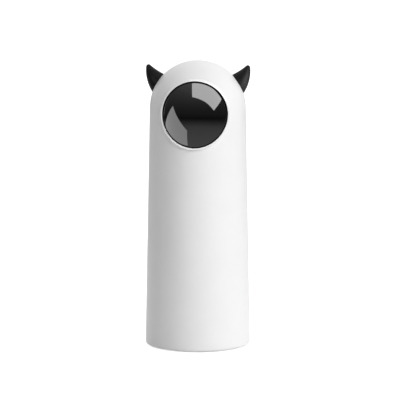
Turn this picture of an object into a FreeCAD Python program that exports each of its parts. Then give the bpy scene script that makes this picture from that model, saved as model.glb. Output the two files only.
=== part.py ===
# Automatic cat laser toy: a white pillar with a domed head, a round smoked
# visor with a beaded rim, and two small dark horns.  A laser module inside
# the head is swept from side to side and tipped up and down by two geared
# motors.  A rechargeable cell, a control board and a charging board stand on
# a chassis that slides into the one-piece body shell from below.
#
# Millimetres, +Z up, the front looks along -Y.  The origin is the centre of
# the face that the rubber foot ring rests on.
import FreeCAD
import Part
import math
import os

Vector = FreeCAD.Vector

# ---- body shell ---------------------------------------------------------------
HEIGHT = 164.0            # floor to the crown of the dome
BASE_DIAMETER = 60.0      # where the tapered wall would meet the floor
DOME_RADIUS = 27.4        # hemisphere that closes the top
WALL = 2.0                # moulded wall of the shell
EDGE_ROUND = 1.5          # round on the lower outside edge
BASE_LIFT = 0.5           # lower edge of the shell above the floor

# ---- visor --------------------------------------------------------------------
LENS_RADIUS = 18.5        # outline of the lens, seen from the front
VISOR_DROP = 0.35         # centre of the visor below the centre of the dome
LENS_WALL = 1.8           # thickness of the lens
LENS_CROWN = 5.1          # how far the lens swells out over its own rim chord
LENS_RISE = 0.95          # rim of the lens above the body surface
RIM_WIDTH = 0.65          # low step round the face of the lens
RIM_DEPTH = 0.15
LENS_FLANGE = 2.1         # flange that holds the lens behind the shell
FLANGE_THICKNESS = 1.3
BEAD_WIDTH = 1.15         # rounded white bead round the lens
BEAD_PROUD = 1.25         # bead above the body surface
BEAD_ROUND = 0.52         # round on both edges of the bead
SKIRT_WALL = 0.55         # skirt of the bezel, inside the hole in the shell
SKIRT_DEPTH = 1.6         # how deep the skirt reaches below the body surface
TRIM_GAP = 0.1            # gap between the skirt and the hole in the shell
LENS_GAP = 0.15           # gap between the lens and the bezel

# ---- horns --------------------------------------------------------------------
HORN_ELEVATION = 31.4     # where the horn stands on the dome, degrees up from the sides
HORN_SET_BACK = 5.0       # how far behind the sides it stands, degrees
HORN_ROOT_ELEVATION = 29.7
HORN_ROOT_DEPTH = 6.1     # hidden start of the horn's curve below the dome
HORN_HEADING = 36.0       # slope of the curve at its start, degrees
HORN_BEND = 29.7          # radius of the curve
HORN_LENGTH = 17.65       # length along the curve
HORN_ROOT_RADIUS = 7.3
HORN_ROOT_FLATNESS = 0.35  # depth over width of the root section; the tip is round
HORN_TIP_RADIUS = 0.85
HORN_TIP_ROUND = 1.3      # fillet that takes nearly all of the flat end
HORN_FULLNESS = 1.47      # power of the taper, above 1 keeps the horn plump
HORN_STATIONS = 5
PLUG_RADIUS = 2.5         # plug that snaps into the shell
PLUG_GAP = 0.1
BARB_LIP = 0.8            # barb beyond the plug
BARB_LENGTH = 2.2
BARB_GAP = 0.1            # barb behind the wall

# ---- base ---------------------------------------------------------------------
CAP_LIFT = 0.8            # underside of the base cap above the floor
CAP_THICKNESS = 3.0
CAP_GAP = 0.25            # gap between the cap and the shell
FOOT_THICKNESS = 1.5
FOOT_WIDTH = 7.0
FOOT_BEVEL = 0.4
FOOT_GAP = 0.1            # gap between the foot ring and its groove
BOSS_RADIUS = 3.0         # screw bosses moulded inside the shell
BOSS_LENGTH = 9.0
BOSS_STANDOFF = 1.6       # boss to wall, bridged by a web
BOSS_WEB = 2.0
BASE_SCREW_RADIUS = 1.2
BASE_SCREW_LENGTH = 8.0
BASE_HEAD_RADIUS = 2.0
BASE_HEAD_HEIGHT = 1.2
HEAD_GAP = 0.3            # counterbore round a screw head
HEAD_BEVEL = 0.35         # bevel on a screw head, as a share of its height
SCREW_GAP = 0.2           # clearance hole round a shank
THREAD_GAP = 0.02         # pilot hole round a shank
STIFFENER_RADIUS = 14.0   # ring that stiffens the cap
STIFFENER_WALL = 1.2
STIFFENER_HEIGHT = 2.0
CUP_WALL = 1.2            # cups on the cap that hold the chassis legs
CUP_HEIGHT = 2.5

# ---- chassis ------------------------------------------------------------------
FLOOR_Z = 13.5            # underside of the chassis floor
FLOOR_THICKNESS = 2.0
DECK_THICKNESS = 2.5
CHASSIS_GAP = 0.5         # chassis to the wall of the shell
GUIDE_GAP = 0.2           # chassis to the guide ribs
RIB_WIDTH = 2.0
STOP_REACH = 2.0          # stop blocks over the edge of the deck
STOP_HEIGHT = 2.0
LEG_RADIUS = 3.0
LEG_CIRCLE = 21.0
NOTCH_GAP = 0.7           # chassis notches that slide past the screw bosses
SPINE_FRONT = 3.0         # front face of the upright plate
SPINE_THICKNESS = 2.0
SPINE_INSET = 3.9         # side edge of the plate to the edge of the deck
RAIL_FRONT = -3.0         # stiffening rails along both edges of the plate
RAIL_BACK = 8.0
WINDOW_WIDTH = 14.0       # windows in the plate for the leads
WINDOW_HEIGHT = 12.0
POST_RADIUS = 2.2
POST_LENGTH = 8.0         # upright plate to the main board
LEAD_HOLE_RADIUS = 3.0    # hole in the deck for the leads
LEAD_HOLE_INSET = 6.0     # its centre inside the edge of the deck
LEAD_HOLE_ANGLE = 125.0

# ---- battery ------------------------------------------------------------------
CELL_DIAMETER = 14.2
CELL_LENGTH = 50.5
CELL_X = -9.0
CELL_GAP = 0.3            # tab to the chassis floor
CELL_BEVEL = 0.5
CELL_NUB_RADIUS = 2.9
CELL_NUB_HEIGHT = 0.8
TAB_WIDTH = 5.0
TAB_THICKNESS = 0.2
PAD_THICKNESS = 1.0       # foam between the cell and the plate
CLIP_GAP = 0.1
CLIP_WALL = 1.4
CLIP_HEIGHT = 7.0
CLIP_MOUTH = 9.6          # mouth of the clip, a little narrower than the cell

# ---- boards -------------------------------------------------------------------
BOARD_WIDTH = 32.0
BOARD_THICKNESS = 1.6
BOARD_FLOOR_GAP = 12.0    # chassis floor to the main board
BOARD_DECK_GAP = 8.0      # main board to the deck
BOARD_CORNER = 1.5
POST_INSET = 3.5          # corner of the board to the screws, along both edges
SMALL_SCREW_RADIUS = 0.8
SMALL_HEAD_RADIUS = 1.6
SMALL_HEAD_HEIGHT = 1.0
SMALL_SCREW_LENGTH = 5.0
CHIP_SIZE = 7.0
CHIP_HEIGHT = 1.0
CAPACITORS = (            # x, z over the middle of the board, radius, height
    (-9.0, -14.0, 2.5, 5.4), (-9.0, -20.5, 2.0, 5.0))
COIL_AND_DRIVERS = (      # x, z over the middle of the board, width, length, height
    (8.0, -15.0, 6.0, 6.0, 3.0), (9.0, 4.0, 5.0, 4.0, 1.4), (-9.0, 4.0, 5.0, 4.0, 1.4))
SOCKET_HEIGHT = 4.6       # white wire sockets on the front of the board
SOCKET_DEPTH = 3.6
SOCKET_WALL = 0.7
SOCKET_BACK = 0.9         # closed back of a socket
SOCKET_INSET = 10.0       # their middles from the lower and upper edge of the board
SWITCH_SIZE = 6.0
SWITCH_HEIGHT = 3.5
SWITCH_WALL = 0.9
PLUNGER_RADIUS = 1.75
PLUNGER_LENGTH = 3.8
PLUNGER_PROUD = 1.8
PLUNGER_GAP = 0.05
LED_RADIUS = 1.5
LED_LENGTH = 3.4
PIPE_RADIUS = 1.0
PIPE_GAP = 0.05
PIPE_FLANGE = 0.8
PIPE_RECESS = 0.1         # face of the light pipe below the body surface

# ---- power button -------------------------------------------------------------
BUTTON_RADIUS = 5.8
BUTTON_GAP = 0.2
BUTTON_PROUD = 0.6
BUTTON_ROUND = 0.35
BUTTON_DROP = 22.0        # centre of the button below the deck
BUTTON_LIP = 1.4          # flange that keeps the button in the shell
BUTTON_LIP_THICKNESS = 1.0
BUTTON_PLAY = 0.25        # flange to the wall
BUTTON_WALL = 1.2
STEM_RADIUS = 2.0
LED_RISE = 11.0           # status light above the button

# ---- charging socket ----------------------------------------------------------
USB_WIDTH = 8.94
USB_HEIGHT = 3.2
USB_LENGTH = 7.35
USB_WALL = 0.32
USB_SETBACK = 0.65        # mouth of the socket behind the inner wall
USB_CLEARANCE = 0.35      # slot in the shell round the socket
USB_RECESS_MARGIN = 1.5   # shallow recess for the plug's grip
USB_RECESS_DEPTH = 1.0
TONGUE_WIDTH = 6.7
TONGUE_THICKNESS = 0.7
TONGUE_LENGTH = 5.2
CHARGE_BOARD_WIDTH = 18.0
CHARGE_BOARD_THICKNESS = 1.2
CHARGE_BOARD_FRONT = 8.0
CHARGE_POST_HEIGHT = 2.0
CHARGE_POST_RADIUS = 1.8
CHARGE_POST_INSET = 2.5   # posts from the front and rear edge of the charging board
CHARGE_POST_ASIDE = 2.0   # posts from its side edges
SOCKET_OVERHANG = 3.4     # socket beyond the edge of the charging board

# ---- gears --------------------------------------------------------------------
MODULE = 0.5
PRESSURE_ANGLE = 20.0
ADDENDUM = 0.8            # stub teeth, in modules
DEDENDUM = 1.0            # in modules
BACKLASH = 0.06           # taken off each tooth at the pitch circle
PAN_TEETH = 45
PINION_TEETH = 15
TILT_TEETH = 30
GEAR_WIDTH = 3.0
PINION_EXTRA = 0.4        # pinion wider than the gear, each side

# ---- pan drive ----------------------------------------------------------------
SPINDLE_RADIUS = 4.0
SPINDLE_FIT = 0.05        # running fit of the turntable on its spindle
SHOULDER_RADIUS = 6.5
SHOULDER_HEIGHT = 0.7
THRUST_GAP = 0.1
HUB_RADIUS = 6.3
HUB_RISE = 0.6            # gear above the foot of the hub
HUB_TOP = 0.5             # hub above the turntable plate
TURNTABLE_THICKNESS = 1.5
TURNTABLE_RADIUS = 10.6
END_FLOAT = 0.2           # turntable under its washer
WASHER_RADIUS = 6.0
WASHER_THICKNESS = 0.6
CENTRE_SCREW_RADIUS = 1.2
CENTRE_SCREW_LENGTH = 7.0
CENTRE_HEAD_RADIUS = 2.8
CENTRE_HEAD_HEIGHT = 1.4
PAN_MOTOR_ANGLE = -40.0   # where the motor stands, degrees from +X
GEARBOX_WIDTH = 12.0
GEARBOX_DEPTH = 10.0
GEARBOX_HEIGHT = 9.0
GEARBOX_CORNER = 1.2
GEARBOX_PLATE = 0.9       # end plates of the closed case
GEARBOX_STEP = 0.4        # case inside the edge of its plates
COLLAR_RADIUS = 2.0
COLLAR_HEIGHT = 0.8
PAN_CAN_LENGTH = 15.0
PAN_ENDCAP_LENGTH = 1.8
ENDCAP_STEP = 0.4         # end cap inside the outline of the can
TAG_SPREAD = 3.6          # solder tags from the middle of the cap
TAG_WIDTH = 2.0
TAG_THICKNESS = 0.3
TAG_LENGTH = 2.0
PAN_SHAFT_RADIUS = 1.5
PAN_SHAFT_FLAT = 1.0      # flat of the D section, from the axis
SHAFT_FIT = 0.05
KEY_FIT = 0.02
MOTOR_SCREW_PITCH = 9.0
MOTOR_SCREW_RADIUS = 0.8
MOTOR_HEAD_RADIUS = 1.4
MOTOR_HEAD_HEIGHT = 0.9

# ---- turret -------------------------------------------------------------------
YOKE_PLATE = 2.0
YOKE_RADIUS = 12.2
YOKE_HOLE = 6.8
ARM_INSIDE = 9.0          # inner face of each arm from the middle
ARM_THICKNESS = 2.0
ARM_HALF_WIDTH = 4.0
YOKE_SCREW_CIRCLE = 8.7
AXLE_RADIUS = 1.5
AXLE_FIT = 0.05
SIDE_PLAY = 0.2
TILT_MOTOR_RADIUS = 3.0
TILT_MOTOR_LENGTH = 13.4
TILT_SHAFT_RADIUS = 0.5
TILT_SHAFT_INSIDE = 3.0   # shaft inside the can
BRIDGE_CLEARANCE = 1.9    # yoke bridge above the head of the centre screw
SADDLE_FLOOR = 2.85       # yoke bridge below the motor
SADDLE_DEPTH = 1.75       # axis of the motor above the top of the bridge
SADDLE_GAP = 0.05
CLIP_BAND = 0.85          # strap over the tilt motor
CLIP_LENGTH = 5.0
SECTOR_GAP = 0.5          # tilt gears beside the yoke arm
SECTOR_SIDE_GAP = 0.1     # hub of the sector beside the yoke arm
SECTOR_WIDTH = 2.4
SECTOR_SPAN = 90.0        # toothed part, degrees
SECTOR_MIDDLE = 15.0      # middle of the travel, degrees nose down
SECTOR_HUB_RADIUS = 3.0
SECTOR_RIM = 2.0

# ---- laser module -------------------------------------------------------------
LASER_RADIUS = 3.25
LASER_FRONT = 9.0         # nose ahead of the tilt axis
LASER_BACK = 5.0
LASER_FIT = 0.02
CRADLE_WALL = 1.73
CRADLE_HALF_LENGTH = 4.0
COLLAR_SPACER_RADIUS = 2.6
LASER_MOUTH = 1.8
LASER_MOUTH_DEPTH = 1.6
LASER_LENS_THICKNESS = 0.8
LASER_LENS_RECESS = 0.5
LASER_BOARD_WIDTH = 5.0
LASER_BOARD_HEIGHT = 6.8
LASER_BOARD_THICKNESS = 1.2
GRUB_RADIUS = 0.9
GRUB_LENGTH = 2.4
GRUB_BOSS_RADIUS = 2.0
GRUB_BOSS_RISE = 1.2

# ---- places worked out from the sizes -------------------------------------------
base_radius = BASE_DIAMETER / 2.0
dome_z = HEIGHT - DOME_RADIUS
visor_z = dome_z - VISOR_DROP
draft = (math.acos(DOME_RADIUS / math.hypot(base_radius, dome_z))
         - math.atan2(dome_z, base_radius))


def wall_radius(z, inset=0.0):
    """Radius of the tapered wall at height z, moved in by inset."""
    return base_radius - z * math.tan(draft) - inset / math.cos(draft)


cap_top = CAP_LIFT + CAP_THICKNESS
boss_low = cap_top + FOOT_GAP
boss_high = boss_low + BOSS_LENGTH
boss_circle = wall_radius(boss_low, WALL) - BOSS_STANDOFF - BOSS_RADIUS
base_head_seat = FOOT_THICKNESS + FOOT_GAP + BASE_HEAD_HEIGHT
boss_angles = (30.0, 150.0, 270.0)
leg_angles = (90.0, 210.0, 330.0)
rib_angles = (45.0, 135.0, 225.0, 315.0)

pan_pitch_radius = MODULE * PAN_TEETH / 2.0
pinion_pitch_radius = MODULE * PINION_TEETH / 2.0
tilt_pitch_radius = MODULE * TILT_TEETH / 2.0
pan_distance = pan_pitch_radius + pinion_pitch_radius
tilt_distance = tilt_pitch_radius + pinion_pitch_radius
pan_motor_x = pan_distance * math.cos(math.radians(PAN_MOTOR_ANGLE))
pan_motor_y = pan_distance * math.sin(math.radians(PAN_MOTOR_ANGLE))

# The stack on the deck: shoulder, turntable, washer and screw, then the yoke's
# bridge with the tilt motor, then the tilt axis in the middle of the dome.
turntable_stack = (SHOULDER_HEIGHT + THRUST_GAP + HUB_RISE + GEAR_WIDTH + TURNTABLE_THICKNESS
                   + HUB_TOP + END_FLOAT + WASHER_THICKNESS + CENTRE_HEAD_HEIGHT)
tilt_axis_rise = (turntable_stack + BRIDGE_CLEARANCE + SADDLE_FLOOR + TILT_MOTOR_RADIUS
                  + tilt_distance)

floor_top = FLOOR_Z + FLOOR_THICKNESS
deck_top = dome_z - tilt_axis_rise
deck_low = deck_top - DECK_THICKNESS
floor_radius = wall_radius(floor_top, WALL) - CHASSIS_GAP
deck_radius = wall_radius(deck_top, WALL) - CHASSIS_GAP
guide_radius = deck_radius + GUIDE_GAP
spine_back = SPINE_FRONT + SPINE_THICKNESS
spine_half = math.sqrt(deck_radius ** 2 - spine_back ** 2) - SPINE_INSET

cell_radius = CELL_DIAMETER / 2.0
cell_low = floor_top + CELL_GAP + TAB_THICKNESS
cell_y = SPINE_FRONT - PAD_THICKNESS - cell_radius
clip_levels = (cell_low + CELL_LENGTH * 0.2, cell_low + CELL_LENGTH * 0.8)

board_front = spine_back + POST_LENGTH
board_back = board_front + BOARD_THICKNESS
board_low = floor_top + BOARD_FLOOR_GAP
board_high = deck_low - BOARD_DECK_GAP
post_x = BOARD_WIDTH / 2.0 - POST_INSET
post_levels = (board_low + POST_INSET, board_high - POST_INSET)
button_z = deck_low - BUTTON_DROP
led_z = button_z + LED_RISE
switch_face = board_back + SWITCH_HEIGHT

charge_low = floor_top + CHARGE_POST_HEIGHT
charge_top = charge_low + CHARGE_BOARD_THICKNESS
usb_z = charge_top + USB_HEIGHT / 2.0
usb_mouth = wall_radius(usb_z, WALL) - USB_SETBACK
usb_back = usb_mouth - USB_LENGTH
charge_back = usb_mouth - SOCKET_OVERHANG
charge_post_x = CHARGE_BOARD_WIDTH / 2.0 - CHARGE_POST_ASIDE
charge_post_y = CHARGE_BOARD_FRONT + CHARGE_POST_INSET

hub_low = deck_top + SHOULDER_HEIGHT + THRUST_GAP
gear_low = hub_low + HUB_RISE
gear_high = gear_low + GEAR_WIDTH
turntable_top = gear_high + TURNTABLE_THICKNESS
hub_high = turntable_top + HUB_TOP
spindle_top = hub_high + END_FLOAT
washer_top = spindle_top + WASHER_THICKNESS
yoke_top = turntable_top + YOKE_PLATE

arm_outside = ARM_INSIDE + ARM_THICKNESS
tilt_motor_z = dome_z - tilt_distance
bridge_low = tilt_motor_z - TILT_MOTOR_RADIUS - SADDLE_FLOOR
bridge_high = tilt_motor_z - SADDLE_DEPTH
tilt_motor_face = ARM_INSIDE - SADDLE_GAP
sector_low = arm_outside + SECTOR_GAP
sector_high = sector_low + SECTOR_WIDTH
cradle_radius = LASER_RADIUS + LASER_FIT + CRADLE_WALL
far = base_radius + HEIGHT   # beyond the whole part, for cutting tools


# ---- small helpers ------------------------------------------------------------
def cylinder(radius, z_low, z_high, x=0.0, y=0.0):
    return Part.makeCylinder(radius, z_high - z_low, Vector(x, y, z_low))


def rod_x(radius, x_low, x_high, y, z):
    return Part.makeCylinder(radius, x_high - x_low, Vector(x_low, y, z), Vector(1, 0, 0))


def rod_y(radius, y_low, y_high, x, z):
    return Part.makeCylinder(radius, y_high - y_low, Vector(x, y_low, z), Vector(0, 1, 0))


def ring(outer, inner, z_low, z_high, x=0.0, y=0.0):
    return cylinder(outer, z_low, z_high, x, y).cut(cylinder(inner, z_low - 1, z_high + 1, x, y))


def block(x_low, x_high, y_low, y_high, z_low, z_high):
    return Part.makeBox(x_high - x_low, y_high - y_low, z_high - z_low,
                        Vector(x_low, y_low, z_low))


def turned(shape, degrees, axis=Vector(0, 0, 1), centre=Vector(0, 0, 0)):
    copy = shape.copy()
    copy.rotate(centre, axis, degrees)
    return copy


def moved(shape, x, y, z):
    copy = shape.copy()
    copy.translate(Vector(x, y, z))
    return copy


def joined(shapes):
    """One solid from pieces that touch or overlap."""
    first = shapes[0]
    return first.fuse(list(shapes[1:])).removeSplitter()


def polar(radius, degrees):
    angle = math.radians(degrees)
    return radius * math.cos(angle), radius * math.sin(angle)


def edges_at_height(shape, z):
    """Edges that lie wholly in the level plane at z."""
    found = []
    for edge in shape.Edges:
        box = edge.BoundBox
        if abs(box.ZMin - z) < 1e-4 and abs(box.ZMax - z) < 1e-4:
            found.append(edge)
    return found


def save(name, shape):
    shape.exportStep(os.path.join("parts", name + ".step"))


def pan_head_screw(head_radius, head_height, shank_radius, length):
    """Screw that points down, with the underside of its head at z = 0."""
    head = Part.makeCylinder(head_radius, head_height)
    head = head.makeChamfer(head_height * HEAD_BEVEL, edges_at_height(head, head_height))
    return head.fuse(cylinder(shank_radius, -length, 0.0)).removeSplitter()


# ---- the common form of the body ------------------------------------------------
def body_form(inset, z_low):
    """Tapered pillar with its tangent dome, moved in by inset, down to z_low."""
    radius = DOME_RADIUS - inset
    halfway = (math.pi / 2.0 + draft) / 2.0
    tangent = Vector(radius * math.cos(draft), 0, dome_z + radius * math.sin(draft))
    middle = Vector(radius * math.cos(halfway), 0, dome_z + radius * math.sin(halfway))
    crown = Vector(0, 0, dome_z + radius)
    foot = Vector(wall_radius(z_low, inset), 0, z_low)
    centre = Vector(0, 0, z_low)
    outline = Part.Wire([
        Part.makeLine(centre, foot),
        Part.makeLine(foot, tangent),
        Part.Arc(tangent, middle, crown).toShape(),
        Part.makeLine(crown, centre),
    ])
    return Part.Face(outline).revolve(Vector(0, 0, 0), Vector(0, 0, 1), 360)


def front_band(outer, inner):
    """Tube along -Y through the front of the head, round the visor's axis."""
    band = rod_y(outer, -far, 0.0, 0.0, visor_z)
    return band.cut(rod_y(inner, -far - 1, 1.0, 0.0, visor_z))


# ---- shell --------------------------------------------------------------------
def screw_boss(angle):
    x, y = polar(boss_circle, angle)
    boss = cylinder(BOSS_RADIUS, boss_low, boss_high, x, y)
    web = block(boss_circle, base_radius, -BOSS_WEB / 2, BOSS_WEB / 2, boss_low, boss_high)
    web = turned(web, angle).common(body_form(WALL / 2, 0.0))
    pilot = cylinder(BASE_SCREW_RADIUS + THREAD_GAP, boss_low - 1, boss_high - 1, x, y)
    return boss.fuse(web).cut(pilot)


def guide_rib(angle):
    rib = block(guide_radius, base_radius, -RIB_WIDTH / 2, RIB_WIDTH / 2,
                floor_top + 1.0, deck_low - 2.0)
    stop_low = deck_top + GUIDE_GAP
    stop = block(deck_radius - STOP_REACH, base_radius, -RIB_WIDTH, RIB_WIDTH,
                 stop_low, stop_low + STOP_HEIGHT)
    both = Part.makeCompound([turned(rib, angle), turned(stop, angle)])
    return both.common(body_form(WALL / 2, 0.0))


def rounded_slot(width, height, y_low, y_high, z):
    """Slot along Y with full-round ends."""
    reach = (width - height) / 2.0
    middle = block(-reach, reach, y_low, y_high, z - height / 2, z + height / 2)
    ends = [rod_y(height / 2, y_low, y_high, side * reach, z) for side in (-1, 1)]
    return joined([middle] + ends)


def horn_axis(side):
    rise = math.radians(HORN_ELEVATION)
    back = math.radians(HORN_SET_BACK)
    return Vector(side * math.cos(rise) * math.cos(back), math.cos(rise) * math.sin(back),
                  math.sin(rise))


def body_shell():
    shell = body_form(0.0, BASE_LIFT)
    shell = shell.makeFillet(EDGE_ROUND, edges_at_height(shell, BASE_LIFT))
    shell = shell.cut(body_form(WALL, BASE_LIFT - 1.0))
    inside = [screw_boss(angle) for angle in boss_angles]
    inside += [guide_rib(angle) for angle in rib_angles]
    shell = shell.fuse(inside)
    openings = [rod_y(LENS_RADIUS + LENS_GAP + SKIRT_WALL + TRIM_GAP, -far, 0.0, 0.0, visor_z)]
    for side in (-1, 1):
        start = Vector(0, 0, dome_z) + horn_axis(side) * (DOME_RADIUS - 2 * WALL)
        openings.append(Part.makeCylinder(PLUG_RADIUS + PLUG_GAP, far, start, horn_axis(side)))
    openings.append(rod_y(BUTTON_RADIUS + BUTTON_GAP, board_back, far, 0.0, button_z))
    openings.append(rod_y(PIPE_RADIUS + PIPE_GAP, board_back, far, 0.0, led_z))
    slot_width = USB_WIDTH + 2 * USB_CLEARANCE
    slot_height = USB_HEIGHT + 2 * USB_CLEARANCE
    openings.append(rounded_slot(slot_width, slot_height, usb_back, far, usb_z))
    recess = rounded_slot(slot_width + 2 * USB_RECESS_MARGIN, slot_height + 2 * USB_RECESS_MARGIN,
                          usb_back, far, usb_z)
    openings.append(recess.cut(body_form(USB_RECESS_DEPTH, 0.0)))
    return shell.cut(openings).removeSplitter()


# ---- visor --------------------------------------------------------------------
def lens_form(inset):
    """Barrel-shaped swelling that spans the rim of the visor, moved in by inset."""
    low = Vector(0, -wall_radius(visor_z - LENS_RADIUS), visor_z - LENS_RADIUS)
    high_y = -math.sqrt(DOME_RADIUS ** 2 - (LENS_RADIUS - VISOR_DROP) ** 2)
    high = Vector(0, high_y, visor_z + LENS_RADIUS)
    side = Vector(0, -math.sqrt(wall_radius(visor_z) ** 2 - LENS_RADIUS ** 2), visor_z)
    half = (high - low).Length / 2.0
    up = (high - low).normalize()
    out = Vector(0, -up.z, up.y)
    middle = (low + high) * 0.5
    apex = middle + out * (LENS_CROWN + LENS_RISE)
    arc_radius = (half ** 2 + LENS_CROWN ** 2) / (2.0 * LENS_CROWN)
    arc_centre = apex - out * arc_radius
    drop = LENS_CROWN - (side - middle).dot(out)
    hoop_radius = (LENS_RADIUS ** 2 + drop ** 2) / (2.0 * drop)
    spread = math.asin(half / arc_radius) + math.radians(5.0)
    radius = arc_radius - inset
    ends = [arc_centre + out * (radius * math.cos(spread)) + up * (radius * math.sin(spread) * sign)
            for sign in (-1, 1)]
    axis_point = apex - out * hoop_radius
    feet = [axis_point + up * (end - axis_point).dot(up) for end in ends]
    outline = Part.Wire([
        Part.makeLine(feet[0], ends[0]),
        Part.Arc(ends[0], apex - out * inset, ends[1]).toShape(),
        Part.makeLine(ends[1], feet[1]),
        Part.makeLine(feet[1], feet[0]),
    ])
    face = Part.Face(outline)
    face.rotate(axis_point, up, -80.0)
    return face.revolve(axis_point, up, 160.0)


def barb_clearance(side):
    """Room inside the shell for the barb of a horn."""
    start = Vector(0, 0, dome_z) + horn_axis(side) * (DOME_RADIUS / 2.0)
    return Part.makeCylinder(PLUG_RADIUS + BARB_LIP + LENS_GAP, far, start, horn_axis(side))


def visor_lens():
    inner = LENS_RADIUS - LENS_WALL
    flange_inset = WALL + TRIM_GAP
    behind = body_form(flange_inset + FLANGE_THICKNESS, 0.0)
    disc = rod_y(LENS_RADIUS, -far, 0.0, 0.0, visor_z).common(lens_form(0.0))
    hollow = rod_y(inner, -far, 1.0, 0.0, visor_z).common(lens_form(LENS_WALL))
    step = front_band(LENS_RADIUS + LENS_WALL, LENS_RADIUS - RIM_WIDTH).cut(lens_form(RIM_DEPTH))
    window = disc.cut([hollow, behind, step])
    flange = front_band(LENS_RADIUS + LENS_FLANGE, inner)
    flange = flange.common(body_form(flange_inset, 0.0))
    flange = flange.cut([behind, barb_clearance(-1), barb_clearance(1)])
    return window.fuse(flange).removeSplitter()


def visor_bezel():
    inner = LENS_RADIUS + LENS_GAP
    surface = body_form(0.0, 0.0)
    bead = front_band(inner + BEAD_WIDTH, inner)
    bead = bead.common(body_form(-BEAD_PROUD, 0.0)).cut(surface)
    crest = [edge for edge in bead.Edges
             if edge.BoundBox.YMax < 0 and edge_rises_from_body(edge)]
    bead = bead.makeFillet(BEAD_ROUND, crest)
    skirt = front_band(inner + SKIRT_WALL, inner)
    skirt = skirt.common(surface).cut(body_form(SKIRT_DEPTH, 0.0))
    return bead.fuse(skirt).removeSplitter()


def edge_rises_from_body(edge):
    """True for an edge along the crest of the bead, false for one on the body."""
    point = edge.valueAt((edge.FirstParameter + edge.LastParameter) / 2.0)
    start = edge.valueAt(edge.FirstParameter)
    return height_over_body(point) > BEAD_PROUD * 0.9 and height_over_body(start) > BEAD_PROUD * 0.9


def height_over_body(point):
    """How far a point near the front stands out of the body surface."""
    if point.z > dome_z + DOME_RADIUS * math.sin(draft):
        return (point - Vector(0, 0, dome_z)).Length - DOME_RADIUS
    return (math.hypot(point.x, point.y) - wall_radius(point.z)) * math.cos(draft)


# ---- horns --------------------------------------------------------------------
def right_horn():
    """Oval at its foot and round at its tip, built over the side, then turned back."""
    root_x, root_z = polar(DOME_RADIUS - HORN_ROOT_DEPTH, HORN_ROOT_ELEVATION)
    start = math.radians(HORN_HEADING)
    sections = []
    for index in range(HORN_STATIONS):
        share = index / (HORN_STATIONS - 1.0)
        heading = start + HORN_LENGTH * share / HORN_BEND
        x = root_x + HORN_BEND * (math.sin(heading) - math.sin(start))
        z = root_z + HORN_BEND * (math.cos(start) - math.cos(heading))
        taper = 1.0 - share ** HORN_FULLNESS
        radius = HORN_TIP_RADIUS + (HORN_ROOT_RADIUS - HORN_TIP_RADIUS) * taper
        flatness = HORN_ROOT_FLATNESS + (1.0 - HORN_ROOT_FLATNESS) * share
        section = Part.Wire(Part.Ellipse(Vector(0, 0, 0), radius, radius * flatness).toShape())
        section.rotate(Vector(0, 0, 0), Vector(0, 1, 0), 90.0 - math.degrees(heading))
        section.translate(Vector(x, 0, dome_z + z))
        sections.append(section)
    horn = Part.makeLoft(sections, True)
    end = Vector(x, 0, dome_z + z)
    tip_edge = min(horn.Edges, key=lambda edge: (edge.BoundBox.Center - end).Length)
    horn = horn.makeFillet(HORN_TIP_ROUND, [tip_edge])
    centre = Vector(0, 0, dome_z)
    horn.rotate(centre, Vector(0, 0, 1), HORN_SET_BACK)
    horn = horn.cut(Part.makeSphere(DOME_RADIUS, centre))
    axis = horn_axis(1)
    barb_radius = PLUG_RADIUS + BARB_LIP
    barb_top = math.sqrt((DOME_RADIUS - WALL - BARB_GAP) ** 2 - barb_radius ** 2)
    plug_length = DOME_RADIUS + HORN_TIP_RADIUS - barb_top
    plug = Part.makeCylinder(PLUG_RADIUS, plug_length, centre + axis * barb_top, axis)
    barb = Part.makeCone(PLUG_RADIUS - BARB_LIP / 2, barb_radius, BARB_LENGTH,
                         centre + axis * (barb_top - BARB_LENGTH), axis)
    return horn.fuse([plug, barb]).removeSplitter()


def left_horn():
    return right_horn().mirror(Vector(0, 0, 0), Vector(1, 0, 0))


# ---- base ---------------------------------------------------------------------
def base_cap():
    cap = cylinder(wall_radius(cap_top, WALL) - CAP_GAP, CAP_LIFT, cap_top)
    stiffener = ring(STIFFENER_RADIUS + STIFFENER_WALL, STIFFENER_RADIUS,
                     CAP_LIFT, cap_top + STIFFENER_HEIGHT)
    cups = []
    for angle in leg_angles:
        x, y = polar(LEG_CIRCLE, angle)
        cups.append(ring(LEG_RADIUS + SCREW_GAP + CUP_WALL, LEG_RADIUS + SCREW_GAP,
                         cap_top - 0.5, cap_top + CUP_HEIGHT, x, y))
    cap = cap.fuse([stiffener] + cups)
    groove = ring(boss_circle + FOOT_WIDTH / 2 + FOOT_GAP, boss_circle - FOOT_WIDTH / 2 - FOOT_GAP,
                  0.0, FOOT_THICKNESS)
    holes = [groove]
    for angle in boss_angles:
        x, y = polar(boss_circle, angle)
        holes.append(cylinder(BASE_HEAD_RADIUS + HEAD_GAP, 0.0, base_head_seat, x, y))
        holes.append(cylinder(BASE_SCREW_RADIUS + SCREW_GAP, 0.0, far, x, y))
    return cap.cut(holes).removeSplitter()


def foot_ring():
    foot = ring(boss_circle + FOOT_WIDTH / 2, boss_circle - FOOT_WIDTH / 2, 0.0, FOOT_THICKNESS)
    return foot.makeChamfer(FOOT_BEVEL, edges_at_height(foot, 0.0))


def base_screws():
    screw = pan_head_screw(BASE_HEAD_RADIUS, BASE_HEAD_HEIGHT, BASE_SCREW_RADIUS,
                           BASE_SCREW_LENGTH)
    screw = turned(screw, 180.0, Vector(1, 0, 0))
    places = [polar(boss_circle, angle) for angle in boss_angles]
    return Part.makeCompound([moved(screw, x, y, base_head_seat) for x, y in places])


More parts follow.
